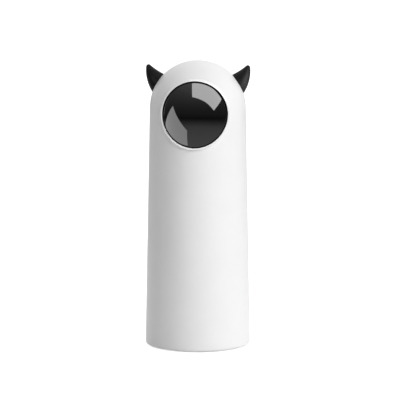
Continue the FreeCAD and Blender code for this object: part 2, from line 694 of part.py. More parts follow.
# ---- chassis ------------------------------------------------------------------
def boss_notch(angle):
    reach = BOSS_RADIUS + NOTCH_GAP
    x, y = polar(boss_circle, angle)
    slot = block(boss_circle, far, -reach, reach, FLOOR_Z - 1, deck_top + 1)
    return cylinder(reach, FLOOR_Z - 1, deck_top + 1, x, y).fuse(turned(slot, angle))


def battery_clip(z):
    """Open ring on the front of the plate that the cell snaps into."""
    inner = cell_radius + CLIP_GAP
    outer = inner + CLIP_WALL
    clip = ring(outer, inner, z - CLIP_HEIGHT / 2, z + CLIP_HEIGHT / 2, CELL_X, cell_y)
    mouth = block(CELL_X - CLIP_MOUTH / 2, CELL_X + CLIP_MOUTH / 2, cell_y - outer - 1, cell_y,
                  z - CLIP_HEIGHT, z + CLIP_HEIGHT)
    return clip.cut(mouth)


def chassis():
    floor = cylinder(floor_radius, FLOOR_Z, floor_top)
    deck = cylinder(deck_radius, deck_low, deck_top)
    plates = floor.fuse(deck).cut([boss_notch(angle) for angle in boss_angles])
    pieces = [block(-spine_half, spine_half, SPINE_FRONT, spine_back, floor_top, deck_low)]
    for side in (-1, 1):
        outer = side * spine_half
        inner = side * (spine_half - SPINE_THICKNESS)
        pieces.append(block(min(outer, inner), max(outer, inner), RAIL_FRONT, RAIL_BACK,
                            floor_top, deck_low))
    for angle in leg_angles:
        x, y = polar(LEG_CIRCLE, angle)
        pieces.append(cylinder(LEG_RADIUS, cap_top, FLOOR_Z, x, y))
    for side in (-1, 1):
        for level in post_levels:
            pieces.append(rod_y(POST_RADIUS, spine_back, board_front, side * post_x, level))
        pieces.append(cylinder(CHARGE_POST_RADIUS, floor_top, charge_low,
                               side * charge_post_x, charge_post_y))
        pieces.append(cylinder(CHARGE_POST_RADIUS, floor_top, charge_low,
                               side * charge_post_x, charge_back - CHARGE_POST_INSET))
    pieces += [battery_clip(level) for level in clip_levels]
    pieces.append(cylinder(SHOULDER_RADIUS, deck_top, deck_top + SHOULDER_HEIGHT))
    pieces.append(cylinder(SPINDLE_RADIUS, deck_top, spindle_top))
    body = plates.fuse(pieces)
    cuts = [cylinder(cell_radius + CLIP_GAP, floor_top, cell_low + CELL_LENGTH, CELL_X, cell_y)]
    window_gap = (deck_low - floor_top) / 4.0
    for row in (1, 2, 3):
        z = floor_top + row * window_gap
        cuts.append(block(-WINDOW_WIDTH / 2, WINDOW_WIDTH / 2, SPINE_FRONT - 1, spine_back + 1,
                          z - WINDOW_HEIGHT / 2, z + WINDOW_HEIGHT / 2))
    cuts.append(cylinder(COLLAR_RADIUS + SCREW_GAP, deck_low - 1, deck_top + 1,
                         pan_motor_x, pan_motor_y))
    for side in (-1, 1):
        x = pan_motor_x + side * MOTOR_SCREW_PITCH / 2
        cuts.append(cylinder(MOTOR_SCREW_RADIUS + SCREW_GAP, deck_low - 1, deck_top, x,
                             pan_motor_y))
        cuts.append(cylinder(MOTOR_HEAD_RADIUS + SCREW_GAP, deck_top - MOTOR_HEAD_HEIGHT,
                             deck_top + 0.1, x, pan_motor_y))
        for level in post_levels:
            cuts.append(rod_y(SMALL_SCREW_RADIUS + THREAD_GAP, board_front - SMALL_SCREW_LENGTH,
                              board_front + 1, side * post_x, level))
    cuts.append(cylinder(CENTRE_SCREW_RADIUS + THREAD_GAP, spindle_top - CENTRE_SCREW_LENGTH,
                         spindle_top + 1))
    lead_x, lead_y = polar(deck_radius - LEAD_HOLE_INSET, LEAD_HOLE_ANGLE)
    cuts.append(cylinder(LEAD_HOLE_RADIUS, deck_low - 1, deck_top + 1, lead_x, lead_y))
    return body.cut(cuts).removeSplitter()


# ---- battery ------------------------------------------------------------------
def battery_cell():
    nub_low = cell_low + CELL_LENGTH - CELL_NUB_HEIGHT
    can = cylinder(cell_radius, cell_low, nub_low, CELL_X, cell_y)
    rims = edges_at_height(can, cell_low) + edges_at_height(can, nub_low)
    can = can.makeChamfer(CELL_BEVEL, rims)
    nub = cylinder(CELL_NUB_RADIUS, nub_low - 0.5, cell_low + CELL_LENGTH, CELL_X, cell_y)
    return can.fuse(nub).removeSplitter()


def battery_tabs():
    """Nickel strips welded to both ends of the cell."""
    half = TAB_WIDTH / 2.0
    tabs = []
    for low in (cell_low - TAB_THICKNESS, cell_low + CELL_LENGTH):
        flat = block(CELL_X - half, CELL_X + half, cell_y - half, cell_y + half,
                     low, low + TAB_THICKNESS)
        tabs.append(flat)
    return Part.makeCompound(tabs)


def battery_pad():
    low = clip_levels[0] + CLIP_HEIGHT / 2 + 1.0
    high = clip_levels[1] - CLIP_HEIGHT / 2 - 1.0
    half = cell_radius * 0.4
    pad = block(CELL_X - half, CELL_X + half, cell_y, SPINE_FRONT, low, high)
    return pad.cut(cylinder(cell_radius, low - 1, high + 1, CELL_X, cell_y))


# ---- boards -------------------------------------------------------------------
def upright_edges(shape, axis):
    """Straight edges that run along one axis, such as the corners of a board."""
    return [edge for edge in shape.Edges
            if isinstance(edge.Curve, Part.Line) and abs(edge.Curve.Direction.dot(axis)) > 0.999]


def main_board():
    half = BOARD_WIDTH / 2.0
    board = block(-half, half, board_front, board_back, board_low, board_high)
    board = board.makeFillet(BOARD_CORNER, upright_edges(board, Vector(0, 1, 0)))
    holes = [rod_y(SMALL_SCREW_RADIUS + SCREW_GAP, board_front - 1, board_back + 1,
                   side * post_x, level) for side in (-1, 1) for level in post_levels]
    return board.cut(holes)


def board_screws():
    screw = pan_head_screw(SMALL_HEAD_RADIUS, SMALL_HEAD_HEIGHT, SMALL_SCREW_RADIUS,
                           SMALL_SCREW_LENGTH)
    screw = turned(screw, -90.0, Vector(1, 0, 0))
    return Part.makeCompound([moved(screw, side * post_x, board_back, level)
                              for side in (-1, 1) for level in post_levels])


def controller_chip():
    z = (board_low + board_high) / 2.0
    half = CHIP_SIZE / 2.0
    return block(-half, half, board_back, board_back + CHIP_HEIGHT, z - half, z + half)


def board_parts():
    """Taller parts on the rear of the main board: capacitors, coil and driver chips."""
    middle = (board_low + board_high) / 2.0
    parts = [rod_y(radius, board_back, board_back + height, x, middle + z)
             for x, z, radius, height in CAPACITORS]
    parts += [block(x - width / 2, x + width / 2, board_back, board_back + height,
                    middle + z - length / 2, middle + z + length / 2)
              for x, z, width, length, height in COIL_AND_DRIVERS]
    return Part.makeCompound(parts)


def wire_sockets():
    """White sockets on the front of the main board for the cell, motors and laser."""
    sockets = []
    low, high = board_low + SOCKET_INSET, board_high - SOCKET_INSET
    for x, width, z in ((-8.0, 6.0, low), (8.0, 6.0, high), (-8.0, 8.0, high)):
        outer = block(x - width / 2, x + width / 2, board_front - SOCKET_DEPTH, board_front,
                      z - SOCKET_HEIGHT / 2, z + SOCKET_HEIGHT / 2)
        half_width = width / 2 - SOCKET_WALL
        half_height = SOCKET_HEIGHT / 2 - SOCKET_WALL
        mouth = block(x - half_width, x + half_width, board_front - SOCKET_DEPTH - 1,
                      board_front - SOCKET_BACK, z - half_height, z + half_height)
        sockets.append(outer.cut(mouth))
    return Part.makeCompound(sockets)


def switch_housing():
    half = SWITCH_SIZE / 2.0
    housing = block(-half, half, board_back, switch_face, button_z - half, button_z + half)
    bore = rod_y(PLUNGER_RADIUS + PLUNGER_GAP, board_back + SWITCH_WALL, switch_face + 1,
                 0.0, button_z)
    return housing.cut(bore)


def switch_plunger():
    tip = switch_face + PLUNGER_PROUD
    return rod_y(PLUNGER_RADIUS, tip - PLUNGER_LENGTH, tip, 0.0, button_z)


def status_led():
    base = rod_y(LED_RADIUS + 0.3, board_back, board_back + 0.8, 0.0, led_z)
    body = rod_y(LED_RADIUS, board_back, board_back + LED_LENGTH - LED_RADIUS, 0.0, led_z)
    dome = Part.makeSphere(LED_RADIUS, Vector(0, board_back + LED_LENGTH - LED_RADIUS, led_z))
    return joined([base, body, dome])


def status_light_pipe():
    start = board_back + LED_LENGTH + CELL_GAP
    pipe = rod_y(PIPE_RADIUS, start, far, 0.0, led_z).common(body_form(PIPE_RECESS, 0.0))
    flange = rod_y(PIPE_RADIUS + PIPE_FLANGE, start, far, 0.0, led_z)
    flange = flange.common(body_form(WALL + TRIM_GAP, 0.0)).cut(body_form(2 * WALL, 0.0))
    return pipe.fuse(flange).removeSplitter()


# ---- charging socket ----------------------------------------------------------
def charge_board():
    half = CHARGE_BOARD_WIDTH / 2.0
    board = block(-half, half, CHARGE_BOARD_FRONT, charge_back, charge_low, charge_top)
    return board.makeFillet(BOARD_CORNER, upright_edges(board, Vector(0, 0, 1)))


def charge_chip():
    y = CHARGE_BOARD_FRONT + 6.0
    chip = block(-2.0, 2.0, y - 2.5, y + 2.5, charge_top, charge_top + 1.4)
    coil = block(4.0, 7.5, y - 1.75, y + 1.75, charge_top, charge_top + 1.8)
    return Part.makeCompound([chip, coil])


def usb_socket():
    """Flat-oval steel tube, closed at the back."""
    tube = rounded_slot(USB_WIDTH, USB_HEIGHT, usb_back, usb_mouth, usb_z)
    bore = rounded_slot(USB_WIDTH - 2 * USB_WALL, USB_HEIGHT - 2 * USB_WALL,
                        usb_back + 1.0, usb_mouth + 1, usb_z)
    return tube.cut(bore)


def usb_tongue():
    half = TONGUE_WIDTH / 2.0
    return block(-half, half, usb_back + 1.0, usb_back + 1.0 + TONGUE_LENGTH,
                 usb_z - TONGUE_THICKNESS / 2, usb_z + TONGUE_THICKNESS / 2)


# ---- power button -------------------------------------------------------------
def power_button():
    surface = body_form(-BUTTON_PROUD, 0.0)
    flange_top = WALL + BUTTON_PLAY
    flange_low = flange_top + BUTTON_LIP_THICKNESS
    cap = rod_y(BUTTON_RADIUS, 0.0, far, 0.0, button_z).common(surface)
    cap = cap.cut(body_form(flange_low, 0.0))
    crest = [edge for edge in cap.Edges if edge.BoundBox.YMin > wall_radius(button_z) - BUTTON_PROUD
             and edge.BoundBox.XLength > BUTTON_RADIUS]
    cap = cap.makeFillet(BUTTON_ROUND, crest)
    flange = rod_y(BUTTON_RADIUS + BUTTON_LIP, 0.0, far, 0.0, button_z)
    flange = flange.common(body_form(flange_top, 0.0)).cut(body_form(flange_low, 0.0))
    hollow = rod_y(BUTTON_RADIUS - BUTTON_WALL, 0.0, far, 0.0, button_z)
    hollow = hollow.common(body_form(BUTTON_WALL - BUTTON_PROUD, 0.0))
    stem = rod_y(STEM_RADIUS, switch_face + PLUNGER_PROUD, far, 0.0, button_z)
    stem = stem.common(body_form(0.0, 0.0))
    return cap.fuse(flange).cut(hollow).fuse(stem).removeSplitter()


# ---- gears --------------------------------------------------------------------
def gear(teeth, width):
    """Spur gear on the Z axis with a tooth centred on +X and its foot at z = 0."""
    pitch = MODULE * teeth / 2.0
    base = pitch * math.cos(math.radians(PRESSURE_ANGLE))
    tip = pitch + ADDENDUM * MODULE
    root = pitch - DEDENDUM * MODULE
    low = max(base, root)
    half_at_pitch = (math.pi * MODULE / 2.0 - BACKLASH) / (2.0 * pitch)

    def involute(radius):
        angle = math.acos(min(1.0, base / radius))
        return math.tan(angle) - angle

    def flank(radius, side, tooth):
        half = half_at_pitch + involute(pitch) - involute(radius)
        angle = 2.0 * math.pi * tooth / teeth + side * half
        return Vector(radius * math.cos(angle), radius * math.sin(angle), 0)

    def on_circle(radius, turn):
        angle = 2.0 * math.pi * turn / teeth
        return Vector(radius * math.cos(angle), radius * math.sin(angle), 0)

    def at_root(side, tooth):
        return flank(low, side, tooth) * (root / low)

    edges = []
    for tooth in range(teeth):
        if low > root:
            edges.append(Part.makeLine(at_root(-1, tooth), flank(low, -1, tooth)))
        rise = [flank(radius, -1, tooth) for radius in (low, (low + tip) / 2.0, tip)]
        edges.append(Part.Arc(*rise).toShape())
        land = [flank(tip, -1, tooth), on_circle(tip, tooth), flank(tip, 1, tooth)]
        edges.append(Part.Arc(*land).toShape())
        fall = [flank(radius, 1, tooth) for radius in (tip, (low + tip) / 2.0, low)]
        edges.append(Part.Arc(*fall).toShape())
        if low > root:
            edges.append(Part.makeLine(flank(low, 1, tooth), at_root(1, tooth)))
        valley = [at_root(1, tooth), on_circle(root, tooth + 0.5), at_root(-1, tooth + 1)]
        edges.append(Part.Arc(*valley).toShape())
    return Part.Face(Part.Wire(edges)).extrude(Vector(0, 0, width))


def d_shaft(radius, flat, z_low, z_high):
    return cylinder(radius, z_low, z_high).common(block(-radius, flat, -radius, radius,
                                                        z_low, z_high))


def turntable_gear():
    teeth = moved(turned(gear(PAN_TEETH, GEAR_WIDTH), PAN_MOTOR_ANGLE), 0, 0, gear_low)
    plate = cylinder(TURNTABLE_RADIUS, gear_high, turntable_top)
    hub = cylinder(HUB_RADIUS, hub_low, hub_high)
    bore = cylinder(SPINDLE_RADIUS + SPINDLE_FIT, hub_low - 1, hub_high + 1)
    pilots = [cylinder(SMALL_SCREW_RADIUS + THREAD_GAP, gear_low - 1, turntable_top + 1, 0.0,
                       side * YOKE_SCREW_CIRCLE) for side in (-1, 1)]
    return joined([teeth, plate, hub]).cut([bore] + pilots)


def pan_pinion():
    low = gear_low - PINION_EXTRA
    high = gear_high + PINION_EXTRA
    pinion = gear(PINION_TEETH, high - low)
    bore = d_shaft(PAN_SHAFT_RADIUS + KEY_FIT, PAN_SHAFT_FLAT + KEY_FIT, -1.0, high - low + 1.0)
    pinion = pinion.cut(bore)
    pinion = turned(pinion, PAN_MOTOR_ANGLE + 180.0 + 180.0 / PINION_TEETH)
    return moved(pinion, pan_motor_x, pan_motor_y, low)


def pan_motor_shaft():
    low = deck_low - GEARBOX_HEIGHT / 2.0
    high = gear_high + PINION_EXTRA
    plain = cylinder(PAN_SHAFT_RADIUS, 0.0, deck_low + COLLAR_HEIGHT + 0.2 - low)
    keyed = d_shaft(PAN_SHAFT_RADIUS, PAN_SHAFT_FLAT, 0.0, high - low)
    shaft = turned(plain.fuse(keyed), PAN_MOTOR_ANGLE + 180.0 + 180.0 / PINION_TEETH)
    return moved(shaft.removeSplitter(), pan_motor_x, pan_motor_y, low)


def rounded_block(width, depth, z_low, z_high):
    """Upright block on the Z axis with rounded corners."""
    solid = block(-width / 2.0, width / 2.0, -depth / 2.0, depth / 2.0, z_low, z_high)
    return solid.makeFillet(GEARBOX_CORNER, upright_edges(solid, Vector(0, 0, 1)))


def pan_gearbox():
    """Closed gearbox: a case between two end plates, with the output collar on top."""
    low = deck_low - GEARBOX_HEIGHT
    case = rounded_block(GEARBOX_WIDTH - 2 * GEARBOX_STEP, GEARBOX_DEPTH - 2 * GEARBOX_STEP,
                         low, deck_low)
    plates = [rounded_block(GEARBOX_WIDTH, GEARBOX_DEPTH, plate_low, plate_low + GEARBOX_PLATE)
              for plate_low in (low, deck_low - GEARBOX_PLATE)]
    collar = cylinder(COLLAR_RADIUS, deck_low - GEARBOX_PLATE, deck_low + COLLAR_HEIGHT)
    box = joined([case, collar] + plates)
    cuts = [cylinder(PAN_SHAFT_RADIUS + SHAFT_FIT, deck_low - GEARBOX_HEIGHT / 2.0 - SHAFT_FIT,
                     deck_low + COLLAR_HEIGHT + 1)]
    for side in (-1, 1):
        cuts.append(cylinder(MOTOR_SCREW_RADIUS + THREAD_GAP, deck_low - GEARBOX_PLATE - 1,
                             deck_low + 1, side * MOTOR_SCREW_PITCH / 2))
    return moved(box.cut(cuts), pan_motor_x, pan_motor_y, 0.0)


def pan_motor_can():
    high = deck_low - GEARBOX_HEIGHT
    low = high - PAN_CAN_LENGTH
    half = GEARBOX_DEPTH / 2.0
    can = cylinder(GEARBOX_WIDTH / 2.0, low, high)
    can = can.common(block(-GEARBOX_WIDTH, GEARBOX_WIDTH, -half, half, low, high))
    return moved(can, pan_motor_x, pan_motor_y, 0.0)


def pan_motor_endcap():
    high = deck_low - GEARBOX_HEIGHT - PAN_CAN_LENGTH
    low = high - PAN_ENDCAP_LENGTH
    half = GEARBOX_DEPTH / 2.0
    cap = cylinder(GEARBOX_WIDTH / 2.0 - ENDCAP_STEP, low, high)
    cap = cap.common(block(-GEARBOX_WIDTH, GEARBOX_WIDTH, -half + ENDCAP_STEP, half - ENDCAP_STEP,
                           low, high))
    tags = [block(side * TAG_SPREAD - TAG_WIDTH / 2, side * TAG_SPREAD + TAG_WIDTH / 2,
                  -TAG_THICKNESS / 2, TAG_THICKNESS / 2, low - TAG_LENGTH, low + 0.5)
            for side in (-1, 1)]
    return moved(joined([cap] + tags), pan_motor_x, pan_motor_y, 0.0)


def pan_motor_screws():
    length = DECK_THICKNESS - MOTOR_HEAD_HEIGHT + GEARBOX_PLATE
    screw = pan_head_screw(MOTOR_HEAD_RADIUS, MOTOR_HEAD_HEIGHT, MOTOR_SCREW_RADIUS, length)
    return Part.makeCompound([
        moved(screw, pan_motor_x + side * MOTOR_SCREW_PITCH / 2, pan_motor_y,
              deck_top - MOTOR_HEAD_HEIGHT) for side in (-1, 1)])


def turntable_washer():
    return ring(WASHER_RADIUS, CENTRE_SCREW_RADIUS + SCREW_GAP, spindle_top, washer_top)


def turntable_screw():
    screw = pan_head_screw(CENTRE_HEAD_RADIUS, CENTRE_HEAD_HEIGHT, CENTRE_SCREW_RADIUS,
                           CENTRE_SCREW_LENGTH)
    return moved(screw, 0, 0, washer_top)


# ---- turret -------------------------------------------------------------------
def turret_yoke():
    plate = cylinder(YOKE_RADIUS, turntable_top, yoke_top)
    pieces = [plate]
    for side in (-1, 1):
        low_x = min(side * ARM_INSIDE, side * arm_outside)
        pieces.append(block(low_x, low_x + ARM_THICKNESS, -ARM_HALF_WIDTH, ARM_HALF_WIDTH,
                            turntable_top, dome_z))
        pieces.append(rod_x(ARM_HALF_WIDTH, low_x, low_x + ARM_THICKNESS, 0.0, dome_z))
    pieces.append(block(-ARM_INSIDE, ARM_INSIDE, -ARM_HALF_WIDTH, ARM_HALF_WIDTH,
                        bridge_low, bridge_high))
    cuts = [cylinder(YOKE_HOLE, turntable_top - 1, bridge_low - 0.01)]
    cuts.append(rod_x(AXLE_RADIUS + AXLE_FIT, -far, far, 0.0, dome_z))
    cuts.append(rod_x(TILT_MOTOR_RADIUS + SADDLE_GAP, -ARM_INSIDE, ARM_INSIDE, 0.0, tilt_motor_z))
    cuts.append(rod_x(TILT_SHAFT_RADIUS + SCREW_GAP, 0.0, far, 0.0, tilt_motor_z))
    for side in (-1, 1):
        cuts.append(cylinder(SMALL_SCREW_RADIUS + SCREW_GAP, turntable_top - 1, yoke_top + 1,
                             0.0, side * YOKE_SCREW_CIRCLE))
    return joined(pieces).cut(cuts).removeSplitter()


def yoke_screws():
    length = YOKE_PLATE + TURNTABLE_THICKNESS + GEAR_WIDTH - 0.5
    screw = pan_head_screw(SMALL_HEAD_RADIUS, SMALL_HEAD_HEIGHT, SMALL_SCREW_RADIUS, length)
    return Part.makeCompound([moved(screw, 0, side * YOKE_SCREW_CIRCLE, yoke_top)
                              for side in (-1, 1)])


def tilt_motor_can():
    back = tilt_motor_face - TILT_MOTOR_LENGTH
    can = rod_x(TILT_MOTOR_RADIUS, back, tilt_motor_face, 0.0, tilt_motor_z)
    bore = rod_x(TILT_SHAFT_RADIUS + SHAFT_FIT, tilt_motor_face - TILT_SHAFT_INSIDE - SHAFT_FIT,
                 tilt_motor_face + 1, 0.0, tilt_motor_z)
    return can.cut(bore)


def tilt_motor_clip():
    middle = tilt_motor_face - TILT_MOTOR_LENGTH / 2.0
    low = middle - CLIP_LENGTH / 2.0
    high = middle + CLIP_LENGTH / 2.0
    strap = rod_x(TILT_MOTOR_RADIUS + CLIP_BAND, low, high, 0.0, tilt_motor_z)
    strap = strap.cut(rod_x(TILT_MOTOR_RADIUS, low - 1, high + 1, 0.0, tilt_motor_z))
    return strap.common(block(low, high, -far, far, bridge_high, far))


def tilt_motor_shaft():
    return rod_x(TILT_SHAFT_RADIUS, tilt_motor_face - TILT_SHAFT_INSIDE, sector_high,
                 0.0, tilt_motor_z)


def onto_tilt_axis(shape, x, z):
    """Lay a shape made on the Z axis along +X, so that its +X side looks down."""
    return moved(turned(shape, 90.0, Vector(0, 1, 0)), x, 0, z)


def tilt_pinion():
    pinion = gear(PINION_TEETH, SECTOR_WIDTH)
    pinion = pinion.cut(cylinder(TILT_SHAFT_RADIUS, -1, SECTOR_WIDTH + 1))
    pinion = turned(pinion, 180.0 + 180.0 / PINION_TEETH)
    return onto_tilt_axis(pinion, sector_low, tilt_motor_z)


def tilt_sector():
    """Toothed sector on the laser cradle's axle, with an open web."""
    root = tilt_pitch_radius - DEDENDUM * MODULE
    start = -SECTOR_MIDDLE - SECTOR_SPAN / 2.0
    wedge = Part.makeCylinder(far, SECTOR_WIDTH, Vector(0, 0, 0), Vector(0, 0, 1), SECTOR_SPAN)
    wedge = turned(wedge, start)
    teeth = gear(TILT_TEETH, SECTOR_WIDTH).common(wedge)
    hub = cylinder(SECTOR_HUB_RADIUS, SECTOR_SIDE_GAP - SECTOR_GAP, SECTOR_WIDTH)
    web = cylinder(root - SECTOR_RIM, SECTOR_WIDTH * 0.3, SECTOR_WIDTH + 1)
    web = web.cut(cylinder(SECTOR_HUB_RADIUS, -1, SECTOR_WIDTH + 2))
    sector = teeth.cut(web).fuse(hub)
    sector = sector.cut(cylinder(AXLE_RADIUS, -2, SECTOR_WIDTH + 1))
    return onto_tilt_axis(sector.removeSplitter(), sector_low, dome_z)


# ---- laser module -------------------------------------------------------------
def laser_cradle():
    pieces = [rod_y(cradle_radius, -CRADLE_HALF_LENGTH, CRADLE_HALF_LENGTH, 0.0, dome_z)]
    pieces.append(rod_x(AXLE_RADIUS, -arm_outside, sector_high, 0.0, dome_z))
    collar = ARM_INSIDE - SIDE_PLAY
    pieces.append(rod_x(COLLAR_SPACER_RADIUS, -collar, collar, 0.0, dome_z))
    boss_high = dome_z + cradle_radius + GRUB_BOSS_RISE
    pieces.append(cylinder(GRUB_BOSS_RADIUS, dome_z, boss_high))
    cuts = [rod_y(LASER_RADIUS + LASER_FIT, -far, far, 0.0, dome_z)]
    cuts.append(cylinder(GRUB_RADIUS + THREAD_GAP, dome_z, far))
    return joined(pieces).cut(cuts)


def laser_barrel():
    barrel = rod_y(LASER_RADIUS, -LASER_FRONT, LASER_BACK, 0.0, dome_z)
    mouth = rod_y(LASER_MOUTH, -LASER_FRONT - 1, -LASER_FRONT + LASER_MOUTH_DEPTH, 0.0, dome_z)
    return barrel.cut(mouth)


def laser_lens():
    front = -LASER_FRONT + LASER_LENS_RECESS
    return rod_y(LASER_MOUTH - LASER_FIT, front, front + LASER_LENS_THICKNESS, 0.0, dome_z)


def laser_board():
    half_w = LASER_BOARD_WIDTH / 2.0
    half_h = LASER_BOARD_HEIGHT / 2.0
    return block(-half_w, half_w, LASER_BACK, LASER_BACK + LASER_BOARD_THICKNESS,
                 dome_z - half_h, dome_z + half_h)


def cradle_grub_screw():
    return cylinder(GRUB_RADIUS, dome_z + LASER_RADIUS, dome_z + LASER_RADIUS + GRUB_LENGTH)


PIECES = (
    body_shell, visor_lens, visor_bezel, right_horn, left_horn,
    base_cap, foot_ring, base_screws, chassis,
    battery_cell, battery_tabs, battery_pad,
    main_board, board_screws, controller_chip, board_parts, wire_sockets,
    switch_housing, switch_plunger, status_led, status_light_pipe,
    charge_board, charge_chip, usb_socket, usb_tongue, power_button,
    turntable_gear, pan_pinion, pan_motor_shaft, pan_gearbox, pan_motor_can,
    pan_motor_endcap, pan_motor_screws, turntable_washer, turntable_screw,
    turret_yoke, yoke_screws, tilt_motor_can, tilt_motor_clip, tilt_motor_shaft,
    tilt_pinion, tilt_sector,
    laser_cradle, laser_barrel, laser_lens, laser_board, cradle_grub_screw,
)

os.makedirs("parts", exist_ok=True)
for piece in PIECES:
    save(piece.__name__, piece())
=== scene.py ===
# %% [markdown]
# # Automatic cat laser toy
# The toy is a white tapered pillar with a domed head.  A round black visor sits in
# the front of the head, inside a thin rounded white bead, and two small black horns
# stand on the dome.  Inside are a chassis with a cell and boards, and a geared turret
# that swings a laser.  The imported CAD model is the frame: every new piece is made in
# its place and rides on one of its bodies.

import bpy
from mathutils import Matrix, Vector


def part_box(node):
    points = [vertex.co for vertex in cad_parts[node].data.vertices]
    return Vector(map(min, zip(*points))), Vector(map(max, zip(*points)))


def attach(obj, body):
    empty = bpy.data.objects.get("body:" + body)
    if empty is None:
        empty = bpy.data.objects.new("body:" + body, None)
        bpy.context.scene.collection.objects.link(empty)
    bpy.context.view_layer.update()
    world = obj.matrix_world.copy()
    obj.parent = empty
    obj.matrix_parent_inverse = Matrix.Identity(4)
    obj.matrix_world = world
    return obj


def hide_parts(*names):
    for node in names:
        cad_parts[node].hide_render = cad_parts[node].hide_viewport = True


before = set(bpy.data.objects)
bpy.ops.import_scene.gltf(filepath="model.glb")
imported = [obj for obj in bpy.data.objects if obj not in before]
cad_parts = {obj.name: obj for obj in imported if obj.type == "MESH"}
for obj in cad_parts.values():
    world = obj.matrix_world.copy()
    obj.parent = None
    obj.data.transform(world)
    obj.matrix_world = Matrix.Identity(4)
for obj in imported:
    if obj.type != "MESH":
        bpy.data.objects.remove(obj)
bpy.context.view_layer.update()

# %% [markdown]
# Everything else is worked out from a few measures.  Most can be read from the boxes
# of the CAD nodes, so that a change of the CAD moves the looks with it.  Only the
# radii, the walls, the rounds and the small gaps are written here, in metres, each in
# the cell that first needs it.

# %% Measures of the body
import math

import bmesh
import bpy
from mathutils import Matrix, Vector

MM = 0.001
DOME_RADIUS = 27.4 * MM
BASE_RADIUS = 30.0 * MM        # where the tapered wall would meet the floor
WALL = 2.0 * MM
EDGE_ROUND = 1.5 * MM          # round of the shell's lower edge

shell_low, shell_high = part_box("body_shell")
dome_z = shell_high.z - DOME_RADIUS
draft = (math.acos(DOME_RADIUS / math.hypot(BASE_RADIUS, dome_z))
         - math.atan2(dome_z, BASE_RADIUS))
print("height %.1f mm, dome centre at %.1f mm, draft %.2f degrees"
      % (shell_high.z / MM, dome_z / MM, math.degrees(draft)))

# %% [markdown]
# The visor, its bead, the button and the openings all sit on the same surface: a
# dome that runs on as a gently tapered wall.  One function gives the distance from
# the middle to that surface, so that a trim piece can be made flat and then laid on
# the body.  `lift` raises the surface, and a negative lift sinks it.

# %% The surface of the body as a function
def wall_radius(z, lift=0.0):
    return BASE_RADIUS - z * math.tan(draft) + lift / math.cos(draft)


def reach(x, z, lift=0.0):
    """Distance along Y from the middle to the surface, over the point x, z."""
    radius = DOME_RADIUS + lift
    if z - dome_z > radius * math.sin(draft):
        return math.sqrt(max(0.0, radius ** 2 - x ** 2 - (z - dome_z) ** 2))
    return math.sqrt(max(0.0, wall_radius(z, lift) ** 2 - x ** 2))


print("front of the body at the dome's centre: %.2f mm" % (reach(0.0, dome_z) / MM))

# %% [markdown]
# A turned piece starts as a line: a pen draws its profile in the XZ plane, straight
# with an extruded vertex and round with a spun one.  The line is then spun about the
# piece's axis.  Spinning keeps the rings even, so the shading stays clean, which a
# cut-up primitive would not.  Where a form isn't turned, it grows ring by ring from
# an open rim.

# %% A pen for profiles, a lathe, and the next ring
WELD = 0.0005 * MM             # points nearer than this become one


def only(kind, parts):
    """Of the parts that an operator made, those of one kind."""
    return [part for part in parts if isinstance(part, kind)]


class Pen:
    """Draws one line of edges in the XZ plane, from a first vertex."""

    def __init__(self, bm, x, z):
        self.bm = bm
        self.tip = bm.verts.new((x, 0.0, z))
        self.first = self.tip

    def line(self, x, z, steps=1):
        start = self.tip.co.copy()
        for step in range(1, steps + 1):
            made = bmesh.ops.extrude_vert_indiv(self.bm, verts=[self.tip])
            self.tip = made["verts"][0]
            self.tip.co = start.lerp(Vector((x, 0.0, z)), step / steps)
        return self

    def arc(self, x, z, degrees, steps):
        """Swing the tip round x, z; a positive angle turns it from +Z towards +X."""
        made = bmesh.ops.spin(self.bm, geom=[self.tip], cent=(x, 0.0, z), axis=(0, 1, 0),
                              angle=math.radians(degrees), steps=steps)
        self.tip = only(bmesh.types.BMVert, made["geom_last"])[0]
        return self

    def close(self):
        self.bm.edges.new((self.tip, self.first))
        return self


def lathe(bm, turns, axis=(0, 0, 1), centre=(0, 0, 0)):
    """Spin everything drawn so far once round an axis."""
    bmesh.ops.spin(bm, geom=bm.verts[:] + bm.edges[:], cent=centre, axis=axis,
                   angle=2.0 * math.pi, steps=turns, use_merge=True)
    bmesh.ops.remove_doubles(bm, verts=bm.verts, dist=WELD)
    bmesh.ops.dissolve_degenerate(bm, edges=bm.edges, dist=WELD)


def next_ring(bm, edges):
    """Extrude an open rim; gives the edges and the vertices of the new one."""
    made = bmesh.ops.extrude_edge_only(bm, edges=edges)["geom"]
    return only(bmesh.types.BMEdge, made), only(bmesh.types.BMVert, made)


print("pen and lathe ready, points within %.4f mm are welded" % (WELD / MM))

# %% [markdown]
# Each finished bmesh becomes an object at the origin.  Its normals are made to face
# outwards.  The operator for that starts from one face and can guess wrong on a
# ring, so on a closed mesh the sign of the volume settles it.  The mesh is shaded
# smooth, and only edges sharper than a set angle stay sharp.  Then the piece is tied
# to its body, and the CAD nodes that it stands for are hidden.

# %% From bmesh to a finished piece
SHARP = math.radians(32.0)


def add_object(name, data):
    made = bpy.data.objects.new(name, data)
    bpy.context.scene.collection.objects.link(made)
    return made


def smooth(mesh):
    mesh.shade_smooth()
    mesh.set_sharp_from_angle(angle=SHARP)


def finish_mesh(bm, name, turn_out=True):
    """Keep a bmesh as a smooth object, with its faces turned outwards."""
    if turn_out:
        bmesh.ops.recalc_face_normals(bm, faces=bm.faces)
        closed = all(edge.is_manifold for edge in bm.edges)
        if closed and bm.calc_volume(signed=True) < 0.0:
            bmesh.ops.reverse_faces(bm, faces=bm.faces)
    mesh = bpy.data.meshes.new(name)
    bm.to_mesh(mesh)
    bm.free()
    smooth(mesh)
    return add_object(name, mesh)


def install(piece, body, slot, *nodes):
    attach(piece, body)
    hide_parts(*nodes)
    print("%-18s %6d faces, rides on %s" % (piece.name, len(piece.data.polygons), body))


print("edges over %.0f degrees stay sharp" % math.degrees(SHARP))

